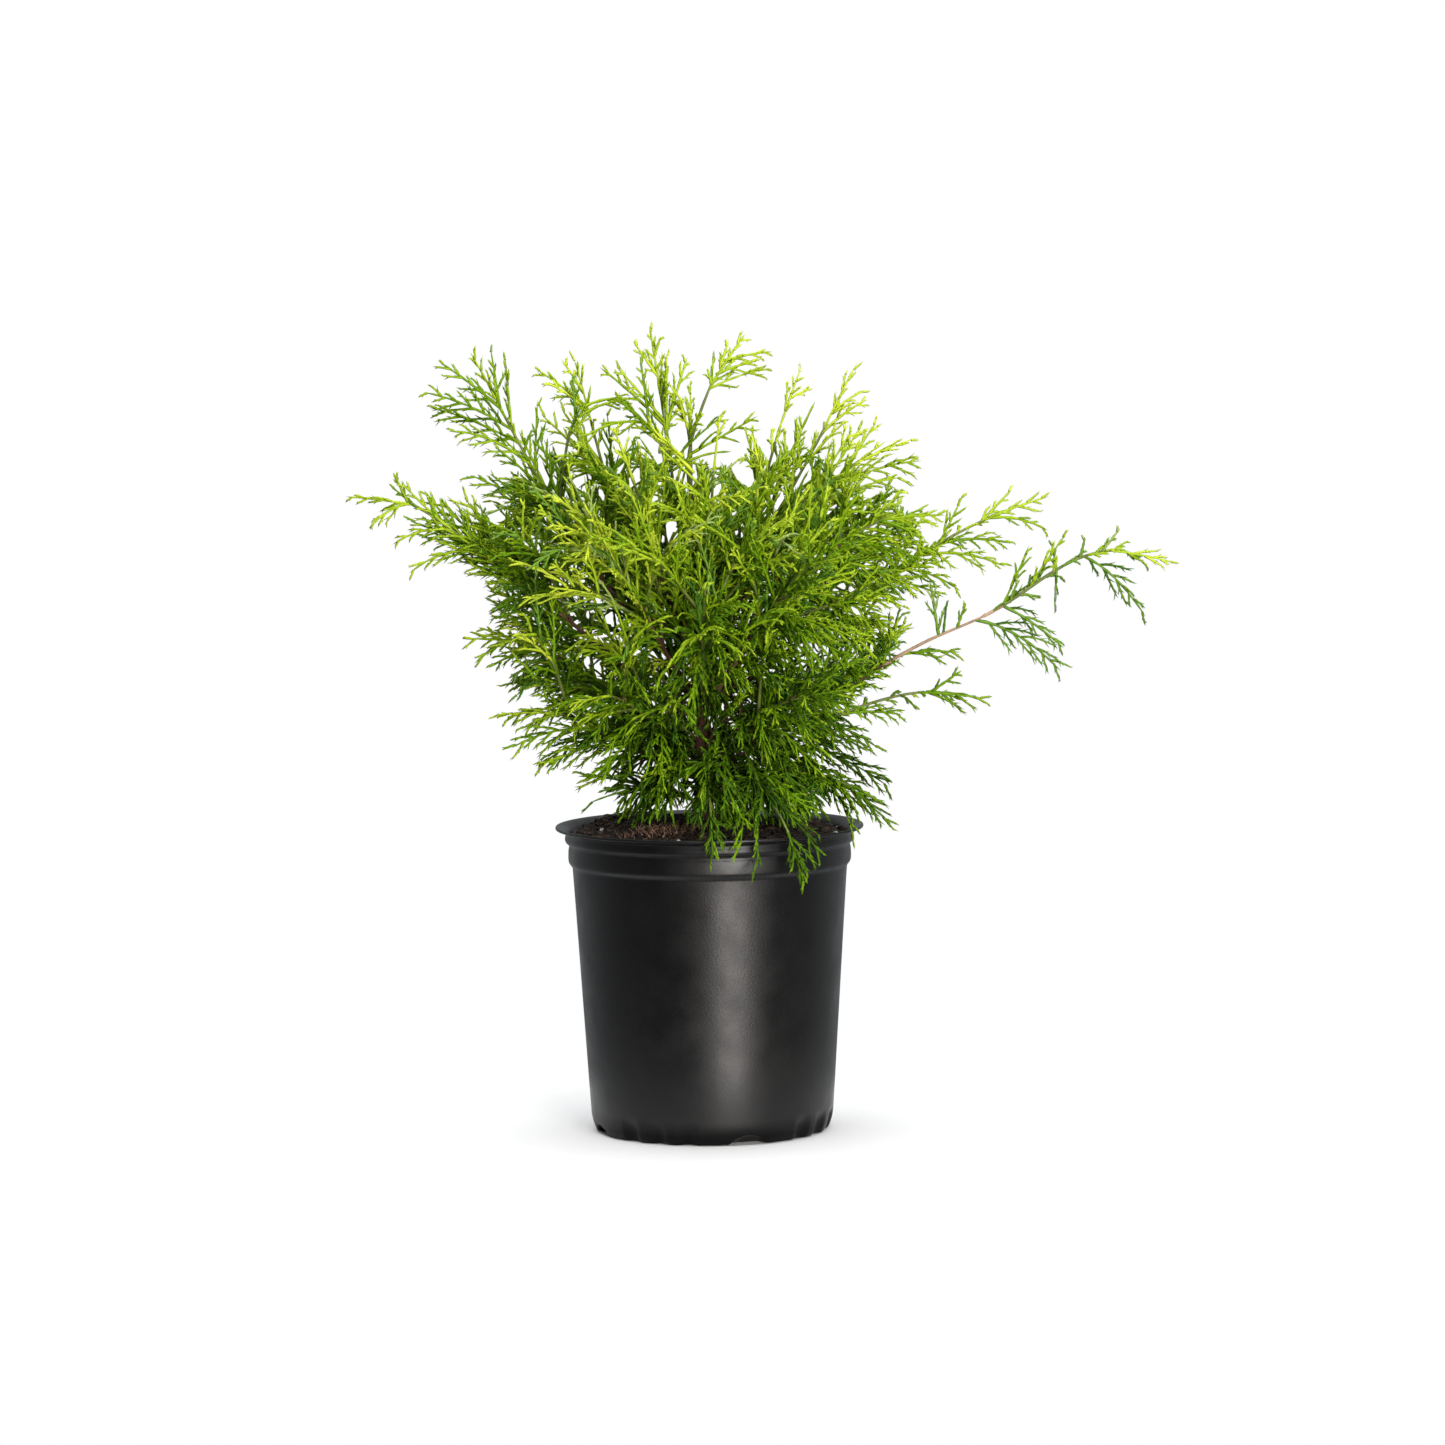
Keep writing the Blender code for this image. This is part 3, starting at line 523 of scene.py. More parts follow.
# Cool greens: a bluer green of the foliage itself, and on the long right shoot painted backlight, whose
# palest is the sage
COOL_GREENS = {
    "cool_shaded": (46, 72, 14),
    "cool_deep": (66, 102, 26),
    "cool_green": (100, 136, 46),
    "sage_and_backlight": (142, 162, 86),
}

FOLIAGE_MOTTLE = ((0.82, 0.86, 0.8), (1.16, 1.12, 1.15))
FOLIAGE_SHEEN = 0.15

# Tone of a spray, from 0, the shaded inside, to 1, the golden tips
TONE_AT_SOIL = 0.07
TONE_RISE = 0.62
TONE_OUTWARD = 0.22
TONE_TO_TIP = 0.26
TONE_SPREAD = 0.17
TONE_TO_LEFT = 0.0004 / MM
TONE_GRAIN = 0.05

# Noise: the sockets that spread it, the range that it is spread from, and its stretch
RANGE_SOCKETS = ("From Min", "From Max", "To Min", "To Max")
NOISE_RANGE = (0.3, 0.7)
EVEN = (1.0, 1.0, 1.0)
UPRIGHT = (1.0, 1.0, 0.5)
STRINGY = (1.0, 1.0, 0.3)

# Grained materials: roughness, dark and light base colour, scale of the grain and its stretch
GRAINED = {
    "red_brown_bark": (0.85, (0.04, 0.016, 0.009), (0.17, 0.074, 0.04), 160.0, STRINGY),
    "young_bark": (0.6, (0.06, 0.09, 0.010), (0.16, 0.20, 0.028), 160.0, STRINGY),
    "pale_tan_bark": (0.7, (0.22, 0.13, 0.075), (0.42, 0.29, 0.18), 160.0, STRINGY),
    "potting_mix": (0.95, (0.005, 0.0035, 0.003), (0.025, 0.015, 0.01), 220.0, EVEN),
    "dark_chips": (0.9, (0.006, 0.004, 0.003), (0.02, 0.012, 0.008), 400.0, EVEN),
    "brown_chips": (0.9, (0.014, 0.008, 0.005), (0.045, 0.024, 0.014), 400.0, EVEN),
    "tan_chips": (0.85, (0.03, 0.016, 0.01), (0.1, 0.055, 0.032), 400.0, EVEN),
    "dry_litter": (0.85, (0.14, 0.07, 0.045), (0.44, 0.27, 0.18), 300.0, EVEN),
    "perlite": (0.8, (0.45, 0.44, 0.42), (0.8, 0.8, 0.78), 500.0, EVEN),
}


def linear(colour):
    """The base colour, in linear light, of a screen colour from 0 to 255."""
    return (np.array(colour) / 255.0) ** 2.2


def blend(start, end, share):
    return start + (end - start) * share


def evenly(start, end, count):
    """This many numbers, evenly from start to end."""
    return [blend(start, end, step / (count - 1)) for step in range(count)]


def unit(vectors):
    return vectors / np.linalg.norm(vectors, axis=-1, keepdims=True)


# Materials


def new_material(name, roughness):
    made = bpy.data.materials.new(name)
    made.use_nodes = True
    shader = made.node_tree.nodes["Principled BSDF"]
    shader.inputs["Roughness"].default_value = roughness
    return made, made.node_tree, shader


def add_node(tree, kind, **values):
    """A shader node of this kind, with a number or another node's output for some of its sockets."""
    made = tree.nodes.new("ShaderNode" + kind)
    for name, value in values.items():
        if isinstance(value, bpy.types.NodeSocket):
            tree.links.new(value, made.inputs[name])
        else:
            made.inputs[name].default_value = value
    return made


def spread_out(tree, value, inputs, outputs):
    """The value, with one range of numbers spread over another."""
    ends = dict(zip(RANGE_SOCKETS, (*inputs, *outputs)))
    return add_node(tree, "MapRange", Value=value, **ends).outputs["Result"]


def mottle(tree, scale, detail, outputs=(0.0, 1.0), stretch=EVEN):
    """A noise in the object's own space."""
    place = add_node(tree, "TexCoord").outputs["Object"]
    stretched = add_node(tree, "Mapping", Vector=place, Scale=stretch).outputs["Vector"]
    pattern = add_node(tree, "TexNoise", Vector=stretched, Scale=scale, Detail=detail)
    return spread_out(tree, pattern.outputs["Fac"], NOISE_RANGE, outputs)


def along_axis(tree, space, axis, inputs, outputs):
    """A value that follows the places along one axis."""
    place = add_node(tree, "TexCoord").outputs[space]
    split = add_node(tree, "SeparateXYZ", Vector=place)
    return spread_out(tree, split.outputs[axis], inputs, outputs)


def colour_between(tree, shader, value, first, second):
    mix = tree.nodes.new("ShaderNodeMix")
    mix.data_type = "RGBA"
    mix.inputs["A"].default_value = (*first, 1.0)
    mix.inputs["B"].default_value = (*second, 1.0)
    tree.links.new(value, mix.inputs["Factor"])
    tree.links.new(mix.outputs["Result"], shader.inputs["Base Color"])


def bumped(tree, shader, value, strength, distance):
    bump = add_node(tree, "Bump", Height=value, Strength=strength, Distance=distance)
    tree.links.new(bump.outputs["Normal"], shader.inputs["Normal"])


def pot_material():
    """Black plastic with a satin sheen, turned down at the foot as painted shade there."""
    made, tree, shader = new_material("black_polyethylene", 0.4)
    sheen_and_foot_shade = along_axis(tree, "Object", "Z", POT_FOOT_SHADE_HEIGHTS, POT_SHEEN_AND_FOOT_SHADE)
    tree.links.new(sheen_and_foot_shade, shader.inputs["Specular IOR Level"])
    colour_between(tree, shader, mottle(tree, 26.0, 6.0, stretch=UPRIGHT), *POT_COLOURS)
    tree.links.new(mottle(tree, 60.0, 5.0, POT_ROUGHNESS), shader.inputs["Roughness"])
    bumped(tree, shader, mottle(tree, 900.0, 3.0), 0.12, 0.2 * MM)
    return made


def grained_material(name):
    roughness, dark, light, scale, stretch = GRAINED[name]
    made, tree, shader = new_material(name, roughness)
    colour_between(tree, shader, mottle(tree, scale, 6.0, stretch=stretch), dark, light)
    bumped(tree, shader, mottle(tree, scale * 2.5, 4.0, stretch=stretch), 0.5, 0.4 * MM)
    return made


def foliage_material(name, colour):
    """Green with a slight mottle, satin as waxy scale leaves are."""
    made, tree, shader = new_material(name, 0.6)
    shader.inputs["Specular IOR Level"].default_value = FOLIAGE_SHEEN
    dark, light = (linear(colour) * part for part in FOLIAGE_MOTTLE)
    colour_between(tree, shader, mottle(tree, 140.0, 3.0), dark, light)
    bumped(tree, shader, mottle(tree, 1400.0, 2.0), 0.3, 0.2 * MM)
    return made


# Meshes


def new_object(name, data):
    made = bpy.data.objects.new(name, data)
    bpy.context.scene.collection.objects.link(made)
    return made


def new_piece(name, points, faces, material, smooth=True):
    """An object from a point array and a list of face arrays, each with its own corner count."""
    mesh = bpy.data.meshes.new(name)
    mesh.vertices.add(len(points))
    mesh.vertices.foreach_set("co", np.asarray(points, np.float32).ravel())
    corners = np.concatenate([group.ravel() for group in faces])
    counts = np.concatenate([np.full(len(group), group.shape[1]) for group in faces])
    starts = np.concatenate(([0], np.cumsum(counts)[:-1]))
    mesh.loops.add(len(corners))
    mesh.loops.foreach_set("vertex_index", corners.astype(np.int32))
    mesh.polygons.add(len(counts))
    mesh.polygons.foreach_set("loop_start", starts.astype(np.int32))
    mesh.update(calc_edges=True)
    mesh.validate()
    if smooth:
        mesh.shade_smooth()
    mesh.materials.append(material)
    return new_object(name, mesh)


def dress(piece, nodes):
    """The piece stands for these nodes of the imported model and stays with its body."""
    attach(piece, "root")
    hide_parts(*nodes)


def turned(radii, heights, angles):
    """Points in rings round the upright axis, from the front to the right."""
    parts = (radii * np.sin(angles), -radii * np.cos(angles), heights)
    return np.stack(parts, axis=2).reshape(-1, 3)


def grid_faces(rings, sides, first=0):
    """Quads between closed rings of points, numbered ring by ring."""
    ring, side = np.meshgrid(np.arange(rings - 1), np.arange(sides), indexing="ij")
    low = (ring * sides + side).ravel() + first
    across = (ring * sides + (side + 1) % sides).ravel() + first
    return np.stack((low, across, across + sides, low + sides), axis=1)


def tube_faces(rings, sides):
    """Faces of closed rings of points, with a face over each end."""
    side = np.arange(sides)
    return [grid_faces(rings, sides), np.array([side[::-1], side + (rings - 1) * sides])]


class Heap:
    """Gathers points and faces of many shapes for one joined mesh."""

    def __init__(self):
        self.points = []
        self.faces = {}
        self.count = 0

    def add(self, points, faces):
        """faces is a list of arrays that number the new points from 0."""
        self.points.append(points)
        for group in faces:
            self.faces.setdefault(group.shape[1], []).append(group + self.count)
        self.count += len(points)

    def piece(self, name, material, smooth=True):
        faces = [np.concatenate(groups) for groups in self.faces.values()]
        return new_piece(name, np.concatenate(self.points), faces, material, smooth)


# Pot


def wave(angle, step, half_width):
    """1 at the middle of a bay that repeats every step, 0 past half_width from it."""
    away = (angle + step / 2) % step - step / 2
    if abs(away) >= half_width:
        return 0.0
    return math.cos(away / half_width * math.pi / 2)


def notch_height(angle):
    bay = wave(angle - NOTCH_ANGLE, math.tau / NOTCH_COUNT, NOTCH_HALF_WIDTH)
    return NOTCH_HEIGHT * math.sqrt(bay)


def bay_depth(angle):
    """The places next to a drain notch are left flat."""
    place = (angle - NOTCH_ANGLE) % (math.tau / NOTCH_COUNT)
    if round(place / BAY_STEP) not in BAY_PLACES:
        return 0.0
    return BAY_DEPTH * wave(angle - NOTCH_ANGLE, BAY_STEP, BAY_STEP / 3)


def pot_profile(angle):
    notch = notch_height(angle)
    rings = [(POT_FLAT_RADIUS, 0.0)]
    for step, (radius, height) in enumerate(POT_OUTSIDE):
        if height < BAY_TOP:
            radius -= bay_depth(angle)
            height = max(height, notch + NOTCH_STEP * step)
        rings.append((radius, height))
    rings += POT_INSIDE
    profile = np.array(rings) * MM
    for _ in range(POT_SMOOTHING):
        near = profile[:-1] * 0.75 + profile[1:] * 0.25
        far = profile[:-1] * 0.25 + profile[1:] * 0.75
        rounded = np.stack((near, far), axis=1).reshape(-1, 2)
        profile = np.concatenate((profile[:1], rounded, profile[-1:]))
    return profile


def make_pot():
    angles = NOTCH_ANGLE + np.arange(POT_SEGMENTS) * math.tau / POT_SEGMENTS
    rings = np.stack([pot_profile(angle) for angle in angles], axis=1)
    points = turned(rings[..., 0], rings[..., 1], angles)
    pot = new_piece("nursery_pot", points, tube_faces(len(rings), POT_SEGMENTS), pot_material())
    pot.data.set_sharp_from_angle(angle=POT_SHARP_FROM)
    dress(pot, ["pot"])


# Soil


def soil_height(radius, angle):
    """Height of the soil: level round the trunk, then falling to the wall with low lumps."""
    share = max(0.0, radius - SOIL_LEVEL_RADIUS) / (SOIL_RADIUS - SOIL_LEVEL_RADIUS)
    lump = math.sin(3 * angle + 1.0) * math.sin(9.0 * share) + 0.6 * math.sin(7 * angle + 2.0)
    beside = radius * math.sin(angle) - SOIL_HEAP_PLACE[0]
    behind = -radius * math.cos(angle) - SOIL_HEAP_PLACE[1]
    heap = SOIL_HEAP_HEIGHT * math.exp(-(beside**2 + behind**2) / SOIL_HEAP_REACH**2)
    heap *= min(1.0, (SOIL_RADIUS - radius) / SOIL_HEAP_REACH * SOIL_HEAP_FADE)
    return blend(SOIL_MIDDLE, SOIL_EDGE, share**SOIL_FALL) + SOIL_LUMP * lump * share + heap


def on_soil(radius, angle, raised=0.0):
    """A place on the soil and its crumbs."""
    right, back = radius * math.sin(angle), -radius * math.cos(angle)
    place = Vector((right, back, 0.0)) / MM
    crumbs = sum(size * noise.noise(place * fineness) for size, fineness in CRUMBS)
    return right, back, soil_height(radius, angle) + crumbs * CRUMB_HEIGHT + raised


def make_soil():
    angles = np.arange(SOIL_SEGMENTS) * math.tau / SOIL_SEGMENTS
    rings = [[SOIL_FOOT for _ in angles]]
    for radius in SOIL_RADIUS * np.linspace(1.0, 0.004, SOIL_RINGS):
        rings.append([(radius, on_soil(radius, angle)[2]) for angle in angles])
    rings = np.array(rings)
    points = turned(rings[..., 0], rings[..., 1], angles)
    faces = tube_faces(len(rings), SOIL_SEGMENTS)
    dress(new_piece("soil_bed", points, faces, grained_material("potting_mix")), ["soil"])


def scatter(draw, reach):
    """A radius and an angle spread evenly over the soil."""
    return math.sqrt(draw.random()) * reach, draw.uniform(0.0, math.tau)


def make_chips():
    """Crumbs and slivers of composted bark in three browns."""
    draw = random.Random(SEED + 101)
    heaps = [Heap() for _ in CHIPS]
    for number in range(CHIP_COUNT):
        radius, angle = scatter(draw, CHIP_REACH)
        length = blend(*CHIP_LENGTHS, draw.random() ** 2.5)
        shape = BOX * (1.0, draw.uniform(*CHIP_WIDTHS), draw.uniform(*CHIP_HEIGHTS)) * length
        jitter = [[draw.uniform(*CHIP_VARIES) for _ in range(3)] for _ in BOX]
        turn = Matrix.Rotation(draw.uniform(0, math.tau), 3, "Z")
        tip = Matrix.Rotation(draw.gauss(0.0, CHIP_TILT), 3, (1.0, draw.uniform(-1, 1), 0.0))
        corners = (shape * jitter) @ np.array(tip @ turn).T
        corners += on_soil(radius, angle, CHIP_RAISED * length)
        heaps[number % len(heaps)].add(corners, [BOX_FACES])
    for heap, name in zip(heaps, CHIPS):
        piece = heap.piece("bark_chips_" + name, grained_material(name + "_chips"), smooth=False)
        dress(piece, ["soil"])


def ball(sides, rings):
    """Points of a rough ball, ring by ring, with a point at each end."""
    side = np.arange(sides)
    after = (side + 1) % sides
    turns = math.tau * side / sides
    tilts = (math.pi * np.arange(1, rings) / rings)[:, None]
    middle = turned(np.sin(tilts), np.broadcast_to(-np.cos(tilts), (rings - 1, sides)), turns)
    points = np.concatenate(([(0.0, 0.0, -1.0)], middle, [(0.0, 0.0, 1.0)]))
    last = len(points) - 1
    low = np.stack((np.zeros(sides, int), 1 + after, 1 + side), axis=1)
    high = np.stack((np.full(sides, last), last - sides + side, last - sides + after), axis=1)
    return points, [np.concatenate((low, high)), grid_faces(rings - 1, sides, 1)]


def make_grains():
    """White perlite."""
    draw = random.Random(SEED + 102)
    heap = Heap()
    shape, faces = ball(8, 5)
    for _ in range(GRAIN_COUNT):
        radius, angle = scatter(draw, GRAIN_REACH)
        size = draw.uniform(*GRAIN_SIZES)
        dents = [noise.noise(Vector(point) * 1.7 + UP * radius / MM) for point in shape]
        rough = 1.0 + GRAIN_RELIEF * np.array(dents)[:, None]
        squash = (1.0, draw.uniform(*GRAIN_WIDTHS), draw.uniform(*GRAIN_HEIGHTS))
        place = on_soil(radius, angle, GRAIN_RAISED * size)
        heap.add(shape * rough * squash * size + place, faces)
    dress(heap.piece("perlite_grains", grained_material("perlite")), ["soil"])


def make_litter():
    """Dry twig ends that stand and lean in a tuft on the soil in front of the trunk."""
    draw = random.Random(SEED + 103)
    twigs = []
    while len(twigs) < LITTER_COUNT:
        x, y = (draw.gauss(LITTER_PLACE[i], 0.5 * LITTER_REACH[i]) * MM for i in (0, 1))
        radius, angle = math.hypot(x, y), math.atan2(x, -y)
        if radius > LITTER_LIMIT:
            continue
        length = draw.uniform(*LITTER_LENGTHS)
        turn = draw.uniform(0.0, math.tau)
        along, across = math.cos(turn), math.sin(turn)
        rise = draw.uniform(*LITTER_RISE)
        heading = Vector((LITTER_LEVEL * along, LITTER_LEVEL * across, rise)) * length
        bend = draw.uniform(-LITTER_SIDEWAYS, LITTER_SIDEWAYS) * length
        fall = Vector((-across, along, 0.0)) * bend - UP * heading.z * LITTER_DROOP
        root = Vector((x, y, on_soil(radius, angle)[2] + draw.uniform(-0.5, 0.5) * MM))
        twigs.append(one_twig(root, heading, fall, UP, 0.0))
    heap = Heap()
    heap.add(*thread_points(together(twigs), *LITTER_FORM))
    dress(heap.piece("litter_of_twig_ends", grained_material("dry_litter")), ["soil"])


# Limbs


def trunk_point(height):
    share = height / TRUNK_HEIGHT
    level = UP * (SOIL_MIDDLE + GAP + height)
    return TRUNK_FOOT + TRUNK_LEAN * share + TRUNK_SWAY * math.sin(math.pi * share) + level


def trunk_radius(height):
    share = max(0.0, height) / TRUNK_HEIGHT
    taper = blend(TRUNK_LOW_RADIUS, TRUNK_TOP_RADIUS, share**TRUNK_TAPER)
    return taper + FLARE_RADIUS * math.exp(-height / FLARE_HEIGHT)


def direction(heading, pitch):
    level = Vector((math.cos(heading), math.sin(heading), 0.0))
    return level * math.cos(pitch) + UP * math.sin(pitch)


def flat(vector):
    """The level direction of a vector."""
    return Vector((vector.x, vector.y, 0.0)).normalized()


class Shoot:
    """A curved line to a tip: its first share is a bough, the rest a stem that carries sprays."""

    def __init__(self, name, controls, heading, bare, gold, side=False):
        self.name = name
        self.controls = controls
        self.heading = heading
        self.bare = bare
        self.gold = gold
        self.side = side
        points = self.line(0.0, 1.0, LENGTH_SAMPLES)
        self.length = sum((after - before).length for before, after in zip(points, points[1:]))

    def at(self, share):
        a, b, c, d = self.controls
        rest = 1.0 - share
        place = a * rest**3 + b * (3 * share * rest**2) + c * (3 * share**2 * rest) + d * share**3
        if self.name in BENDS:
            middle, reach, offset = BENDS[self.name]
            place += Vector(offset) * MM * math.exp(-(((share - middle) / reach) ** 2))
        return place

    def forward(self, share):
        return (self.at(min(1.0, share + 0.01)) - self.at(max(0.0, share - 0.01))).normalized()

    def stem_start(self):
        return self.bare + GAP / self.length if self.bare else 0.0

    def stem_end(self):
        """The stem stops short of the tip, which its last spray reaches."""
        return max(STEM_LEAST, 1.0 - END_SPRAY_SHARE * SPRAY_LENGTH / self.length)

    def radius(self, share):
        """Radius of the bough, and past its end of the stem."""
        if self.side:
            return blend(SIDE_BOUGH_RADIUS, STEM_END_RADIUS, share)
        if self.bare and share < self.bare:
            foot = BOUGH_FOOT_RADIUS + BOUGH_THICKENING * self.length
            slim = LONG_SLIMNESS if self.name == "long_right" else 1.0
            return blend(foot, STEM_RADIUS, share / self.bare) * blend(1.0, slim, share / self.bare)
        start = self.stem_start()
        return blend(STEM_RADIUS, STEM_END_RADIUS, (share - start) / (1.0 - start))

    def line(self, start, end, count):
        return [self.at(share) for share in evenly(start, end, count)]


def trunk_shoot(name, tip, foot, foot_pitch, tip_pitch, bare, gold):
    """A shoot that springs from the trunk at the height of its foot."""
    tip = Vector(tip) * MM
    height = foot * MM
    middle = trunk_point(height)
    heading = math.atan2(tip.y - middle.y, tip.x - middle.x)
    if height >= TRUNK_HEIGHT:
        start = middle + UP * GAP
    else:
        out = direction(heading, 0.0)
        rise = (trunk_point(height + FOOT_REACH) - trunk_point(height - FOOT_REACH)).normalized()
        normal = (out - rise * out.dot(rise)).normalized()
        start = middle + normal * (trunk_radius(height - FOOT_REACH) + GAP)
    pull = PATH_PULL * (tip - start).length
    leave = start + direction(heading, math.radians(foot_pitch)) * pull
    arrive = tip - direction(heading, math.radians(tip_pitch)) * pull
    return Shoot(name, (start, leave, arrive, tip), heading, bare, gold)


def inner_shoots():
    """Short shoots straight on the trunk, winding up it, longer and flatter low down."""
    made = []
    draw = random.Random(SEED + 400)
    for number in range(INNER_COUNT):
        share = number / (INNER_COUNT - 1)
        foot = blend(*INNER_HEIGHTS, share)
        turn = number * SPRAY_TWIST
        reach = blend(*INNER_REACH, share) * draw.uniform(*INNER_VARIES)
        out = Vector((math.cos(turn) * reach, math.sin(turn) * reach, blend(*INNER_RISE, share)))
        tip = trunk_point(foot * MM) / MM + out
        made.append(trunk_shoot("inner_%d" % number, tip, foot, *INNER_PITCHES, 0.0, INNER_GOLD))
    return made


def side_bough(name, parent, share, roll, length, gold):
    """It leaves its bough upward and to a side, and then bends out and over."""
    start = parent.at(share)
    side = turned_side(parent, share, roll)
    out = parent.forward(share) * math.cos(SIDE_BOUGH_ANGLE) + side * math.sin(SIDE_BOUGH_ANGLE)
    out = (out + UP * blend(*SIDE_BOUGH_LIFTS, height_share(start.z))).normalized()
    level = flat(out)
    onward, outward, down = SIDE_BOUGH_TIP
    tip = start + (out * onward + level * outward - UP * down) * length
    over = (level - UP * SIDE_BOUGH_DIP).normalized()
    first, last = SIDE_BOUGH_PULLS
    controls = (start, start + out * length * first, tip - over * length * last, tip)
    return Shoot(name, controls, math.atan2(out.y, out.x), 0.0, gold, side=True)


def side_boughs(shoots, spaces):
    """Side boughs by turns round each bough, as long as the crown's body and the limbs allow."""
    made = []
    first, last = SIDE_BOUGH_PLACES
    for number, parent in enumerate(shoots):
        draw = random.Random(SEED + 500 + number)
        count = int((last - first) * parent.length / SIDE_BOUGH_SPACING)
        start = draw.uniform(0.0, math.tau)
        for step in range(count):
            share = blend(first, last, (step + draw.uniform(*SIDE_BOUGH_APART)) / count)
            roll = start + step * SPRAY_TWIST
            full = blend(*SIDE_BOUGH_LENGTHS, share) * draw.uniform(*SIDE_BOUGH_VARIES)
            gold = parent.gold + draw.uniform(-SIDE_BOUGH_GOLD, SIDE_BOUGH_GOLD)
            for scale in SPRAY_SCALES:
                name = "side_%d_%d" % (number, step)
                shoot = side_bough(name, parent, share, roll, full * scale, gold)
                places = np.array([tuple(shoot.at(test)) for test in SIDE_BOUGH_TESTS])
                clear = spaces.free(places[1:], SIDE_BOUGH_ROOM) & ~spaces.in_sky(places[1:])
                if spaces.in_body(places).all() and clear.all():
                    made.append(shoot)
                    break
    return made


def turned_side(shoot, share, roll):
    """The side direction at a place on the stem, level and square to it, rolled about it."""
    forward = shoot.forward(share)
    level = Vector((-math.sin(shoot.heading), math.cos(shoot.heading), 0.0))
    side = (level - forward * level.dot(forward)).normalized()
    return side * math.cos(roll) + forward.cross(side) * math.sin(roll)


def height_share(height):
    """0 in the skirt of the crown, 1 in its upper part."""
    low, high = LIFT_HEIGHTS
    return min(1.0, max(0.0, (height - low) / (high - low)))


# Spaces


def segments(points):
    places = np.array([tuple(point) for point in points])
    return places[:-1], places[1:] - places[:-1]


def distances(places, starts, steps):
    """Distance from each place to each segment."""
    away = places[:, None, :] - starts[None]
    along = (away * steps).sum(axis=2) / (steps * steps).sum(axis=1)
    nearest = away - np.clip(along, 0.0, 1.0)[..., None] * steps
    return np.linalg.norm(nearest, axis=2)


def in_weave(right, height):
    """Which places lie in the small openings between the leaders of the upper crown."""
    beside, above, half_width, half_height = WEAVE_OVAL
    edge = ((right - beside) / half_width) ** 2 + ((height - above) / half_height) ** 2
    across = np.sin(right / WEAVE_ACROSS + 1.5 * np.sin(0.5 * height / WEAVE_UPWARD))
    upward = np.sin(height / WEAVE_UPWARD + 1.5 * np.sin(0.5 * right / WEAVE_ACROSS))
    return across + upward > WEAVE_LIMIT + 2.0 * edge**2


class Spaces:
    """Says whether places keep to a shoot's own space, clear of limbs, soil and pot."""

    def __init__(self, shoots):
        self.stems = [segments(s.line(0.0, 1.0, PATH_SAMPLES)) for s in shoots]
        limbs = []
        for shoot in shoots:
            if shoot.bare:
                steps = np.arange(LIMB_SAMPLES - 1)
                radii = [shoot.radius(share) for share in shoot.bare * steps / LIMB_SAMPLES]
                path = shoot.line(0.0, shoot.bare, LIMB_SAMPLES)
                limbs.append((*segments(path), np.array(radii)))
        heights = [TRUNK_HEIGHT * step / TRUNK_STEPS for step in range(TRUNK_STEPS + 1)]
        radii = [trunk_radius(height) for height in heights[:-1]]
        limbs.append((*segments([trunk_point(h) for h in heights]), np.array(radii)))
        self.limbs = [np.concatenate(parts) for parts in zip(*limbs)]

    def free(self, places, room):
        """Which places, with this much room round them, are clear of limbs, soil and pot."""
        starts, steps, radii = self.limbs
        limbs = distances(places, starts, steps) - radii
        over_soil = places[:, 2] - room > SOIL_MIDDLE
        outside = np.hypot(places[:, 0], places[:, 1]) - room > LIP_RADIUS
        return (limbs.min(axis=1) > room) & (over_soil | outside)

    def inside(self, places):
        """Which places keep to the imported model's box, apart from a little room round it."""
        low, high = np.array(CAD_BOX[0]) - BOX_ROOM, np.array(CAD_BOX[1]) + BOX_ROOM
        return ((places > low) & (places < high)).all(axis=1)

    def in_body(self, places):
        """Which places are in the crown's body, an oval at each height."""
        left, right, depth = (np.interp(places[:, 2], BODY[:, 0], BODY[:, i]) for i in (1, 2, 3))
        across = (places[:, 0] - (left + right) / 2) / ((right - left) / 2)
        return across**2 + (places[:, 1] / depth) ** 2 < 1.0

    def in_sky(self, places):
        """Which places would close a sight line that the photograph leaves open."""
        depth = -CAMERA_PLACE[1] / (places[:, 1] - CAMERA_PLACE[1])
        right = CAMERA_PLACE[0] + (places[:, 0] - CAMERA_PLACE[0]) * depth
        height = CAMERA_PLACE[2] + (places[:, 2] - CAMERA_PLACE[2]) * depth
        across = (right[:, None] - SKY[:, 0]) / SKY[:, 2]
        upward = (height[:, None] - SKY[:, 1]) / SKY[:, 3]
        ragged = 1.0 - SKY_RAGGED * (0.5 + 0.5 * np.sin((right + 1.7 * height) / SKY_RIPPLE))
        return (across**2 + upward**2 < ragged[:, None]).any(axis=1) | in_weave(right, height)

    def open(self, places, room):
        """Which places are free, keep to the box and leave the sky open."""
        return self.free(places, room) & self.inside(places) & ~self.in_sky(places)

    def own(self, places, own):
        """Which places are no further inside another shoot's space than masses overlap."""
        if own >= len(self.stems):
            return np.full(len(places), True)
        reach = [distances(places, *stem).min(axis=1) for stem in self.stems]
        others = np.min([reach[i] for i in range(len(reach)) if i != own], axis=0)
        return others - reach[own] > -MASS_OVERLAP


# Bark


def frames(points):
    """A forward and a side direction at each point of a line, turned as little as can be."""
    before = [points[0], *points[:-1]]
    after = [*points[1:], points[-1]]
    forwards = [(b - a).normalized() for a, b in zip(before, after)]
    side = forwards[0].cross(UP if abs(forwards[0].z) < 0.9 else Vector((0.0, 1.0, 0.0)))
    pairs = []
    for forward in forwards:
        side = (side - forward * side.dot(forward)).normalized()
        pairs.append((forward, side.copy()))
    return pairs


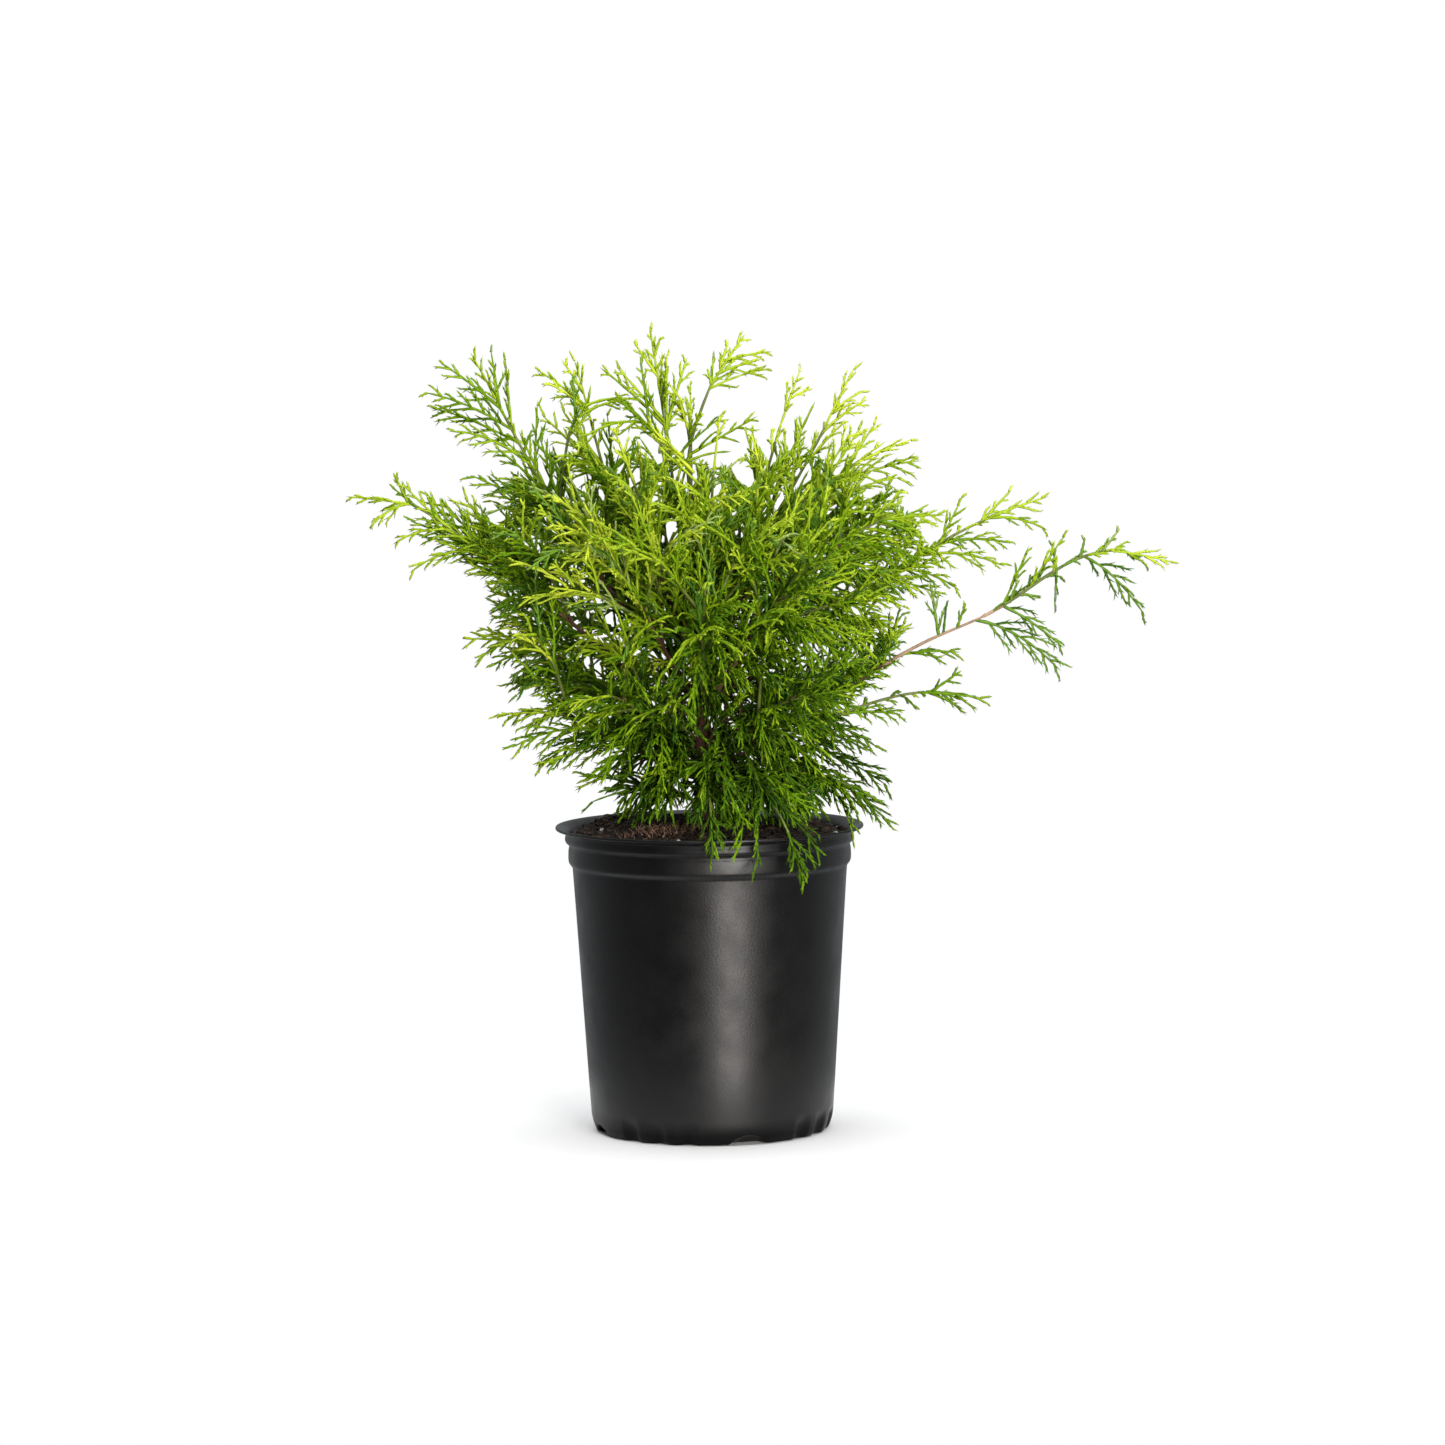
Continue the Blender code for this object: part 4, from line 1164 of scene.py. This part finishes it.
def bark_tube(heap, points, radii, sides, relief, seed):
    """A closed limb whose bark has long raised flakes and furrows."""
    corners = []
    run = 0.0
    for index, (forward, side) in enumerate(frames(points)):
        other = forward.cross(side)
        if index:
            run += (points[index] - points[index - 1]).length / MM
        swell = noise.noise(Vector((seed, 3.0, run * SWELL_FINENESS)))
        for corner in range(sides):
            angle = corner * math.tau / sides
            around = Vector((math.cos(angle), math.sin(angle), 0.0)) * radii[index] / MM
            flake, furrow = (
                noise.noise(Vector((around.x * fine, around.y * fine, run * long + seed)))
                for fine, long in (FLAKE_FINENESS, FURROW_FINENESS)
            )
            raised = 1.0 + relief * (flake + FURROW_PART * furrow + SWELL_PART * swell)
            out = side * math.cos(angle) + other * math.sin(angle)
            corners.append(tuple(points[index] + radii[index] * raised * out))
    heap.add(np.array(corners), tube_faces(len(points), sides))


def make_bark(shoots, fillers, bark):
    """Trunk and boughs in bark, and stems that turn from young bark to green."""
    wood, stems, pale = Heap(), Heap(), Heap()
    heights = evenly(-TRUNK_SINK, TRUNK_HEIGHT, int(TRUNK_HEIGHT / BARK_STEP) + 1)
    radii = [trunk_radius(height) for height in heights]
    bark_tube(wood, [trunk_point(h) for h in heights], radii, TRUNK_SIDES, TRUNK_RELIEF, 0.0)
    for number, shoot in enumerate([*shoots, *fillers]):
        end = shoot.stem_end()
        turn = blend(shoot.stem_start(), end, BARK_SHARE)
        parts = [(wood, -LIMB_SINK, turn, BOUGH_SIDES), (stems, turn - LIMB_LAP, end, STEM_SIDES)]
        if shoot.name == "long_right":
            first, last = PALE_PART
            parts = [
                (wood, -LIMB_SINK, first + LIMB_LAP, BOUGH_SIDES),
                (pale, first, last + LIMB_LAP, BOUGH_SIDES),
                (stems, last, end, STEM_SIDES),
            ]
        for heap, start, stop, sides in parts:
            count = max(4, int((stop - start) * shoot.length / BARK_STEP))
            radii = [shoot.radius(share) for share in evenly(start, stop, count)]
            bark_tube(heap, shoot.line(start, stop, count), radii, sides, LIMB_RELIEF, 7.0 * number)
    boughs = ["bough_" + shoot.name for shoot in shoots if shoot.bare]
    masses = ["foliage_" + shoot.name for shoot in shoots]
    dress(wood.piece("bark_of_trunk_and_boughs", bark), ["trunk", *boughs])
    dress(stems.piece("young_stems", grained_material("young_bark")), masses)
    pale_stem = pale.piece("pale_long_stem", grained_material("pale_tan_bark"))
    dress(pale_stem, ["bough_long_right", "foliage_long_right"])


# Foliage


class Twigs(namedtuple("Twigs", "root start fall normal tone kind")):
    """Many curved axes: each runs root + start * share + fall * share squared, near a plane."""

    def at(self, share):
        share = np.reshape(share, (-1, 1))
        return self.root + self.start * share + self.fall * share**2

    def directions(self, share):
        """Forward, sideways in the plane, and square to both."""
        forward = unit(self.start + 2.0 * self.fall * np.reshape(share, (-1, 1)))
        side = unit(np.cross(self.normal, forward))
        return forward, side, np.cross(forward, side)

    def only(self, keep):
        return Twigs(*(part[keep] for part in self))


def together(groups):
    return Twigs(*(np.concatenate(parts) for parts in zip(*groups)))


def one_twig(root, start, fall, normal, tone, kind=WARM):
    places = (np.array([tuple(part)]) for part in (root, start, fall, normal))
    return Twigs(*places, np.array([tone]), np.array([kind]))


def sprout(parents, chance, spacing, share_of_parent, places, taper, angle, sag, limits):
    """Side twigs that leave their parents left and right by turns, in the parent's plane."""
    lengths = np.linalg.norm(parents.start + parents.fall, axis=1)
    counts = np.maximum(1, (lengths * (places[1] - places[0]) / spacing).astype(int))
    parent = np.repeat(np.arange(len(counts)), counts)
    total = len(parent)
    order = np.arange(total) - np.repeat(np.cumsum(counts) - counts, counts)
    apart = chance.uniform(-PLACE_VARIES, PLACE_VARIES, total)
    share = blend(*places, (order + 0.5 + apart) / counts[parent])
    sign = np.where((order + parent) % 2 == 0, 1.0, -1.0)
    carriers = parents.only(parent)
    forward, side, above = carriers.directions(share)
    lean = angle * chance.uniform(*LEAN_VARIES, total)
    lift = chance.normal(0.0, LIFT_SPREAD, total)
    heading = unit(
        forward * np.cos(lean)[:, None] + side * (np.sin(lean) * sign)[:, None] + above * lift[:, None]
    )
    size = (lengths * share_of_parent)[parent] * blend(*taper, share)
    size = np.clip(size * chance.uniform(*SIZE_VARIES, total), *limits)
    level = np.hypot(heading[:, 0], heading[:, 1])
    droop = sag * chance.uniform(*SAG_VARIES, total) * level
    fall = forward * (FORWARD_BEND * size)[:, None]
    fall[:, 2] -= droop * size
    tone = carriers.tone + TONE_TO_TIP * (share - 0.5) + chance.normal(0.0, TONE_GRAIN, total)
    kind = np.where(carriers.kind == WOODY, WARM, carriers.kind)
    return Twigs(carriers.at(share), heading * size[:, None], fall, carriers.normal, tone, kind)


def spray_swell(share):
    """Sprays are longest a third of the way along the stem and shorten to its tip."""
    start, turn = SPRAY_SWELL
    return math.sin(start + turn * share)


def spray_axis(root, heading, normal, length, tone, bend):
    droop = blend(*SPRAY_DROOP, height_share(root.z))
    fall = normal.cross(heading) * (bend * length)
    fall -= UP * (droop * length * math.hypot(heading.x, heading.y))
    return one_twig(root, heading * length, fall, normal, tone)


def spray_tone(shoot, place, along, draw):
    """Lighter higher up, further out along the shoot and to the left."""
    rise = (place.z - SOIL_MIDDLE) / (CAD_BOX[1].z - SOIL_MIDDLE)
    tone = TONE_AT_SOIL + TONE_RISE * rise + TONE_OUTWARD * along - TONE_TO_LEFT * place.x
    return tone + shoot.gold + draw.uniform(-TONE_SPREAD, TONE_SPREAD)


def spray_kind(shoot, share, place, draw):
    """Bare wood near the trunk, and a cooler green by chance, more often to the right."""
    if share < WOODY_UNTIL and not shoot.side:
        return WOODY
    return COOL if draw.random() < COOL_CHANCE + COOL_TO_RIGHT * place.x else WARM


def spray_plan(shoot, draw):
    """Share along the shoot and size of each spray: crowded inside, mostly short further out."""
    if shoot.side:
        count = int(shoot.length * SIDE_SPRAYS_PART / SIDE_BOUGH_SPRAYS)
        places = [SIDE_SPRAYS_FROM + SIDE_SPRAYS_PART * step / count for step in range(count)]
        return [(place, SIDE_SPRAYS_SIZE) for place in places]
    crowded, opened, long_chance = OPEN_PARTS.get(shoot.name, USUAL_PARTS)
    share = SPRAY_FIRST * (shoot.bare or 0.3)
    plan = []
    while share < shoot.stem_end():
        if share < crowded:
            plan.append((share, 1.0))
            start = min(1.0, share / CROWDED_FROM)
            crowding = blend(*SPRAY_CROWDING, height_share(shoot.at(share).z))
            share += blend(ROOT_SPACING, CROWDED_SPACING, start) * crowding / shoot.length
        elif share < opened:
            share = opened
        else:
            plan.append((share, 1.0 if draw.random() < long_chance else SHORT_SPRAY))
            share += OPEN_SPACING / shoot.length
    return plan


def grow_sprays(shoot, own, spaces, draw):
    """Sprays wind round the shoot; one that won't fit is turned, then shortened, then skipped."""
    grown = []
    first_roll = draw.uniform(0.0, math.tau)
    for number, (share, fullness) in enumerate(spray_plan(shoot, draw)):
        root, forward = shoot.at(share), shoot.forward(share)
        high = height_share(root.z)
        sparse = draw.random() > OUTSIDE_CHANCE
        roll = first_roll + number * SPRAY_TWIST + draw.uniform(-SPRAY_ROLL, SPRAY_ROLL)
        angle = SPRAY_ANGLE * draw.uniform(*ANGLE_VARIES)
        size = SPRAY_LENGTH * draw.uniform(*SPRAY_VARIES) * spray_swell(share) * fullness
        size *= blend(*SPRAY_SHORTENING, high)
        bend = draw.uniform(-SPRAY_BEND, SPRAY_BEND)
        tone = spray_tone(shoot, root, share, draw)
        lift = blend(*SPRAY_LIFT, high) * draw.uniform(*SPRAY_LIFT_VARIES)
        for scale, turn in product(SPRAY_SCALES, SPRAY_TURNS):
            side = turned_side(shoot, share, roll + turn)
            heading = (forward * math.cos(angle) + side * math.sin(angle) + UP * lift).normalized()
            axis = spray_axis(root, heading, forward.cross(side), size * scale, tone, bend)
            places = axis.at(SPRAY_TESTS)
            clear = spaces.open(places, SPRAY_ROOM) & (places[:, 2] > HANG_LIMIT)
            if fullness > SHORT_SPRAY and (scale > OUTSIDE_SCALE or sparse):
                clear &= spaces.in_body(places)
            if clear.all() and spaces.own(places, own).all():
                grown.append(axis._replace(kind=np.array([spray_kind(shoot, share, root, draw)])))
                break
    end = shoot.stem_end()
    forward = shoot.forward(end)
    root = shoot.at(end) - forward * END_SINK
    normal = forward.cross(turned_side(shoot, end, draw.uniform(*END_ROLL)))
    tip = shoot.at(END_REACH) if shoot.name.startswith("rim") else shoot.controls[3]
    grown.append(spray_to(shoot, root, tip, END_DROOP, normal, 1.0, draw))
    return grown


def spray_to(shoot, root, tip, droop, normal, along, draw):
    """A spray of this shoot from its root to its tip, with its middle bowed up by the droop."""
    across = tip - root
    fall = -UP * (droop * across.length)
    tone = spray_tone(shoot, tip, along, draw)
    # Most sprays of the long right shoot take the cool greens as painted backlight
    sage_and_backlight = shoot.name == "long_right" and draw.random() < BACKLIT_SAGE_CHANCE
    return one_twig(root, across - fall, fall, normal, tone, COOL if sage_and_backlight else WARM)


def grow_side_shoots(shoots):
    """Sprays that run from a place on a shoot to a tip, with their plane turned to the front."""
    draw = random.Random(SEED)
    carriers = {shoot.name: shoot for shoot in shoots}
    grown = []
    for name, *rows in SIDE_SHOOTS:
        shoot = carriers[name]
        for percent, right, back, up, droop in rows:
            share = percent / 100
            root, tip = shoot.at(share), Vector((right, back, up)) * MM
            across = tip - root
            turn = Matrix.Rotation(draw.uniform(-SIDE_TURN, SIDE_TURN), 3, across)
            normal = turn @ flat(across).cross(UP)
            grown.append(spray_to(shoot, root, tip, droop / 100, normal, share, draw))
    return grown


def thread_points(twigs, half_width, rings, sides, tip_share):
    """Points and faces of tapering threads, wide and thin by turns as paired scale leaves are."""
    count = len(twigs.root)
    points = []
    for ring in range(rings):
        share = np.full(count, ring / rings)
        _, side, above = twigs.directions(share)
        slim = blend(1.0, tip_share, ring / rings)
        wide, thin = THREAD_RINGS[ring % 2]
        for corner in range(sides):
            angle = corner * math.tau / sides
            out = side * (math.cos(angle) * wide) + above * (math.sin(angle) * thin)
            points.append(twigs.at(share) + out * (half_width * slim))
    points.append(twigs.at(np.ones(count)))
    each = rings * sides + 1
    first = (rings - 1) * sides
    side = np.arange(sides)
    tips = np.stack((first + side, first + (side + 1) % sides, np.full(sides, each - 1)), axis=1)
    offsets = (np.arange(count) * each)[:, None, None]
    shapes = (grid_faces(rings, sides), tips, side[::-1][None])
    faces = [(shape[None] + offsets).reshape(-1, shape.shape[1]) for shape in shapes]
    return np.stack(points, axis=1).reshape(-1, 3), faces


def sprout_laterals(axes, chance):
    """Laterals of the sprays, closer and longer in the skirt."""
    spacing = np.interp(axes.root[:, 2], LIFT_HEIGHTS, LATERAL_SPACINGS)
    share = np.interp(axes.root[:, 2], LIFT_HEIGHTS, LATERAL_SHARES)
    return sprout(axes, chance, spacing, share, **LATERAL)


def fitting(spaces, twigs, room):
    """The twigs whose tips are open, tested in parts."""
    ends = twigs.at(np.ones(len(twigs.root)))
    parts = np.array_split(ends, max(1, len(ends) // 2000))
    return twigs.only(np.concatenate([spaces.open(part, room) for part in parts]))


def make_foliage(shoots, fillers, spaces, bark):
    chance = np.random.default_rng(SEED)
    axes = []
    for own, shoot in enumerate([*shoots, *fillers]):
        axes += grow_sprays(shoot, own, spaces, random.Random(SEED + own))
    axes = together(axes + grow_side_shoots(shoots))
    laterals = fitting(spaces, sprout_laterals(axes, chance), LATERAL_ROOM)
    nubs = fitting(spaces, sprout(laterals, chance, NUB_SPACING, NUB_SHARE, **NUB), NUB_ROOM)
    masses = ["foliage_" + shoot.name for shoot in shoots]
    woody = axes.kind == WOODY
    heap = Heap()
    heap.add(*thread_points(axes.only(woody), *WOODY_FORM))
    dress(heap.piece("inner_twigs", bark), masses)
    levels = ((axes.only(~woody), AXIS_FORM), (laterals, LATERAL_FORM), (nubs, NUB_FORM))
    for kind, greens in ((WARM, GREENS), (COOL, COOL_GREENS)):
        for index, (name, colour) in enumerate(greens.items()):
            heap = Heap()
            for twigs, form in levels:
                shade = np.clip((twigs.tone * len(greens)).astype(int), 0, len(greens) - 1)
                heap.add(*thread_points(twigs.only((twigs.kind == kind) & (shade == index)), *form))
            piece = heap.piece("threads_" + name, foliage_material("foliage_" + name, colour))
            dress(piece, masses)


def make_plant():
    shoots = [trunk_shoot(*row) for row in SHOOTS]
    spaces = Spaces(shoots)
    fillers = [*inner_shoots(), *side_boughs(shoots, spaces)]
    bark = grained_material("red_brown_bark")
    make_bark(shoots, fillers, bark)
    make_foliage(shoots, fillers, spaces, bark)


# Stage


def make_camera():
    data = bpy.data.cameras.new("camera")
    data.sensor_width = SENSOR_WIDTH
    data.lens = PHOTO_FOCAL / PHOTO_SIDE * SENSOR_WIDTH
    data.clip_end = 50.0
    camera = new_object("camera", data)
    look = Matrix.Rotation(math.pi / 2 - CAMERA_DOWN, 4, "X")
    roll = Matrix.Rotation(CAMERA_ROLL, 4, "Z")
    camera.matrix_world = Matrix.Translation(CAMERA_PLACE) @ look @ roll
    bpy.context.scene.camera = camera


def make_lights():
    for name, place, target, size, power, colour in LIGHTS:
        data = bpy.data.lights.new(name, "AREA")
        data.size = size
        data.energy = power
        data.color = colour
        lamp = new_object(name, data)
        lamp.location = place
        away = Vector(target) - Vector(place)
        lamp.rotation_euler = away.to_track_quat("-Z", "Y").to_euler()


def make_world():
    """White behind the object, and otherwise a faint light that is stronger from the back."""
    world = bpy.data.worlds.new("studio")
    bpy.context.scene.world = world
    world.use_nodes = True
    tree = world.node_tree
    lit = tree.nodes["Background"]
    lit.inputs["Color"].default_value = WORLD_COLOUR
    strength = along_axis(tree, "Generated", "Y", WORLD_REACH, WORLD_STRENGTHS)
    tree.links.new(strength, lit.inputs["Strength"])
    backdrop = add_node(tree, "Background", Color=(1.0, 1.0, 1.0, 1.0))
    mix = add_node(tree, "MixShader", Fac=add_node(tree, "LightPath").outputs["Is Camera Ray"])
    tree.links.new(lit.outputs["Background"], mix.inputs[1])
    tree.links.new(backdrop.outputs["Background"], mix.inputs[2])
    tree.links.new(mix.outputs["Shader"], tree.nodes["World Output"].inputs["Surface"])


def make_floor():
    made, tree, shader = new_material("pale_floor", 0.8)
    colour_between(tree, shader, mottle(tree, 3.0, 2.0), *FLOOR_COLOURS)
    turn = np.arange(FLOOR_SIDES) * math.tau / FLOOR_SIDES
    rim = FLOOR_RADIUS * np.stack((np.cos(turn), np.sin(turn), np.zeros(FLOOR_SIDES)), axis=1)
    floor = new_piece("floor", rim, [np.arange(FLOOR_SIDES)[None]], made, smooth=False)


make_camera()
make_world()
make_floor()
make_lights()
bpy.context.scene.view_settings.view_transform = "Standard"
make_pot()
make_soil()
make_chips()
make_litter()
make_grains()
make_plant()
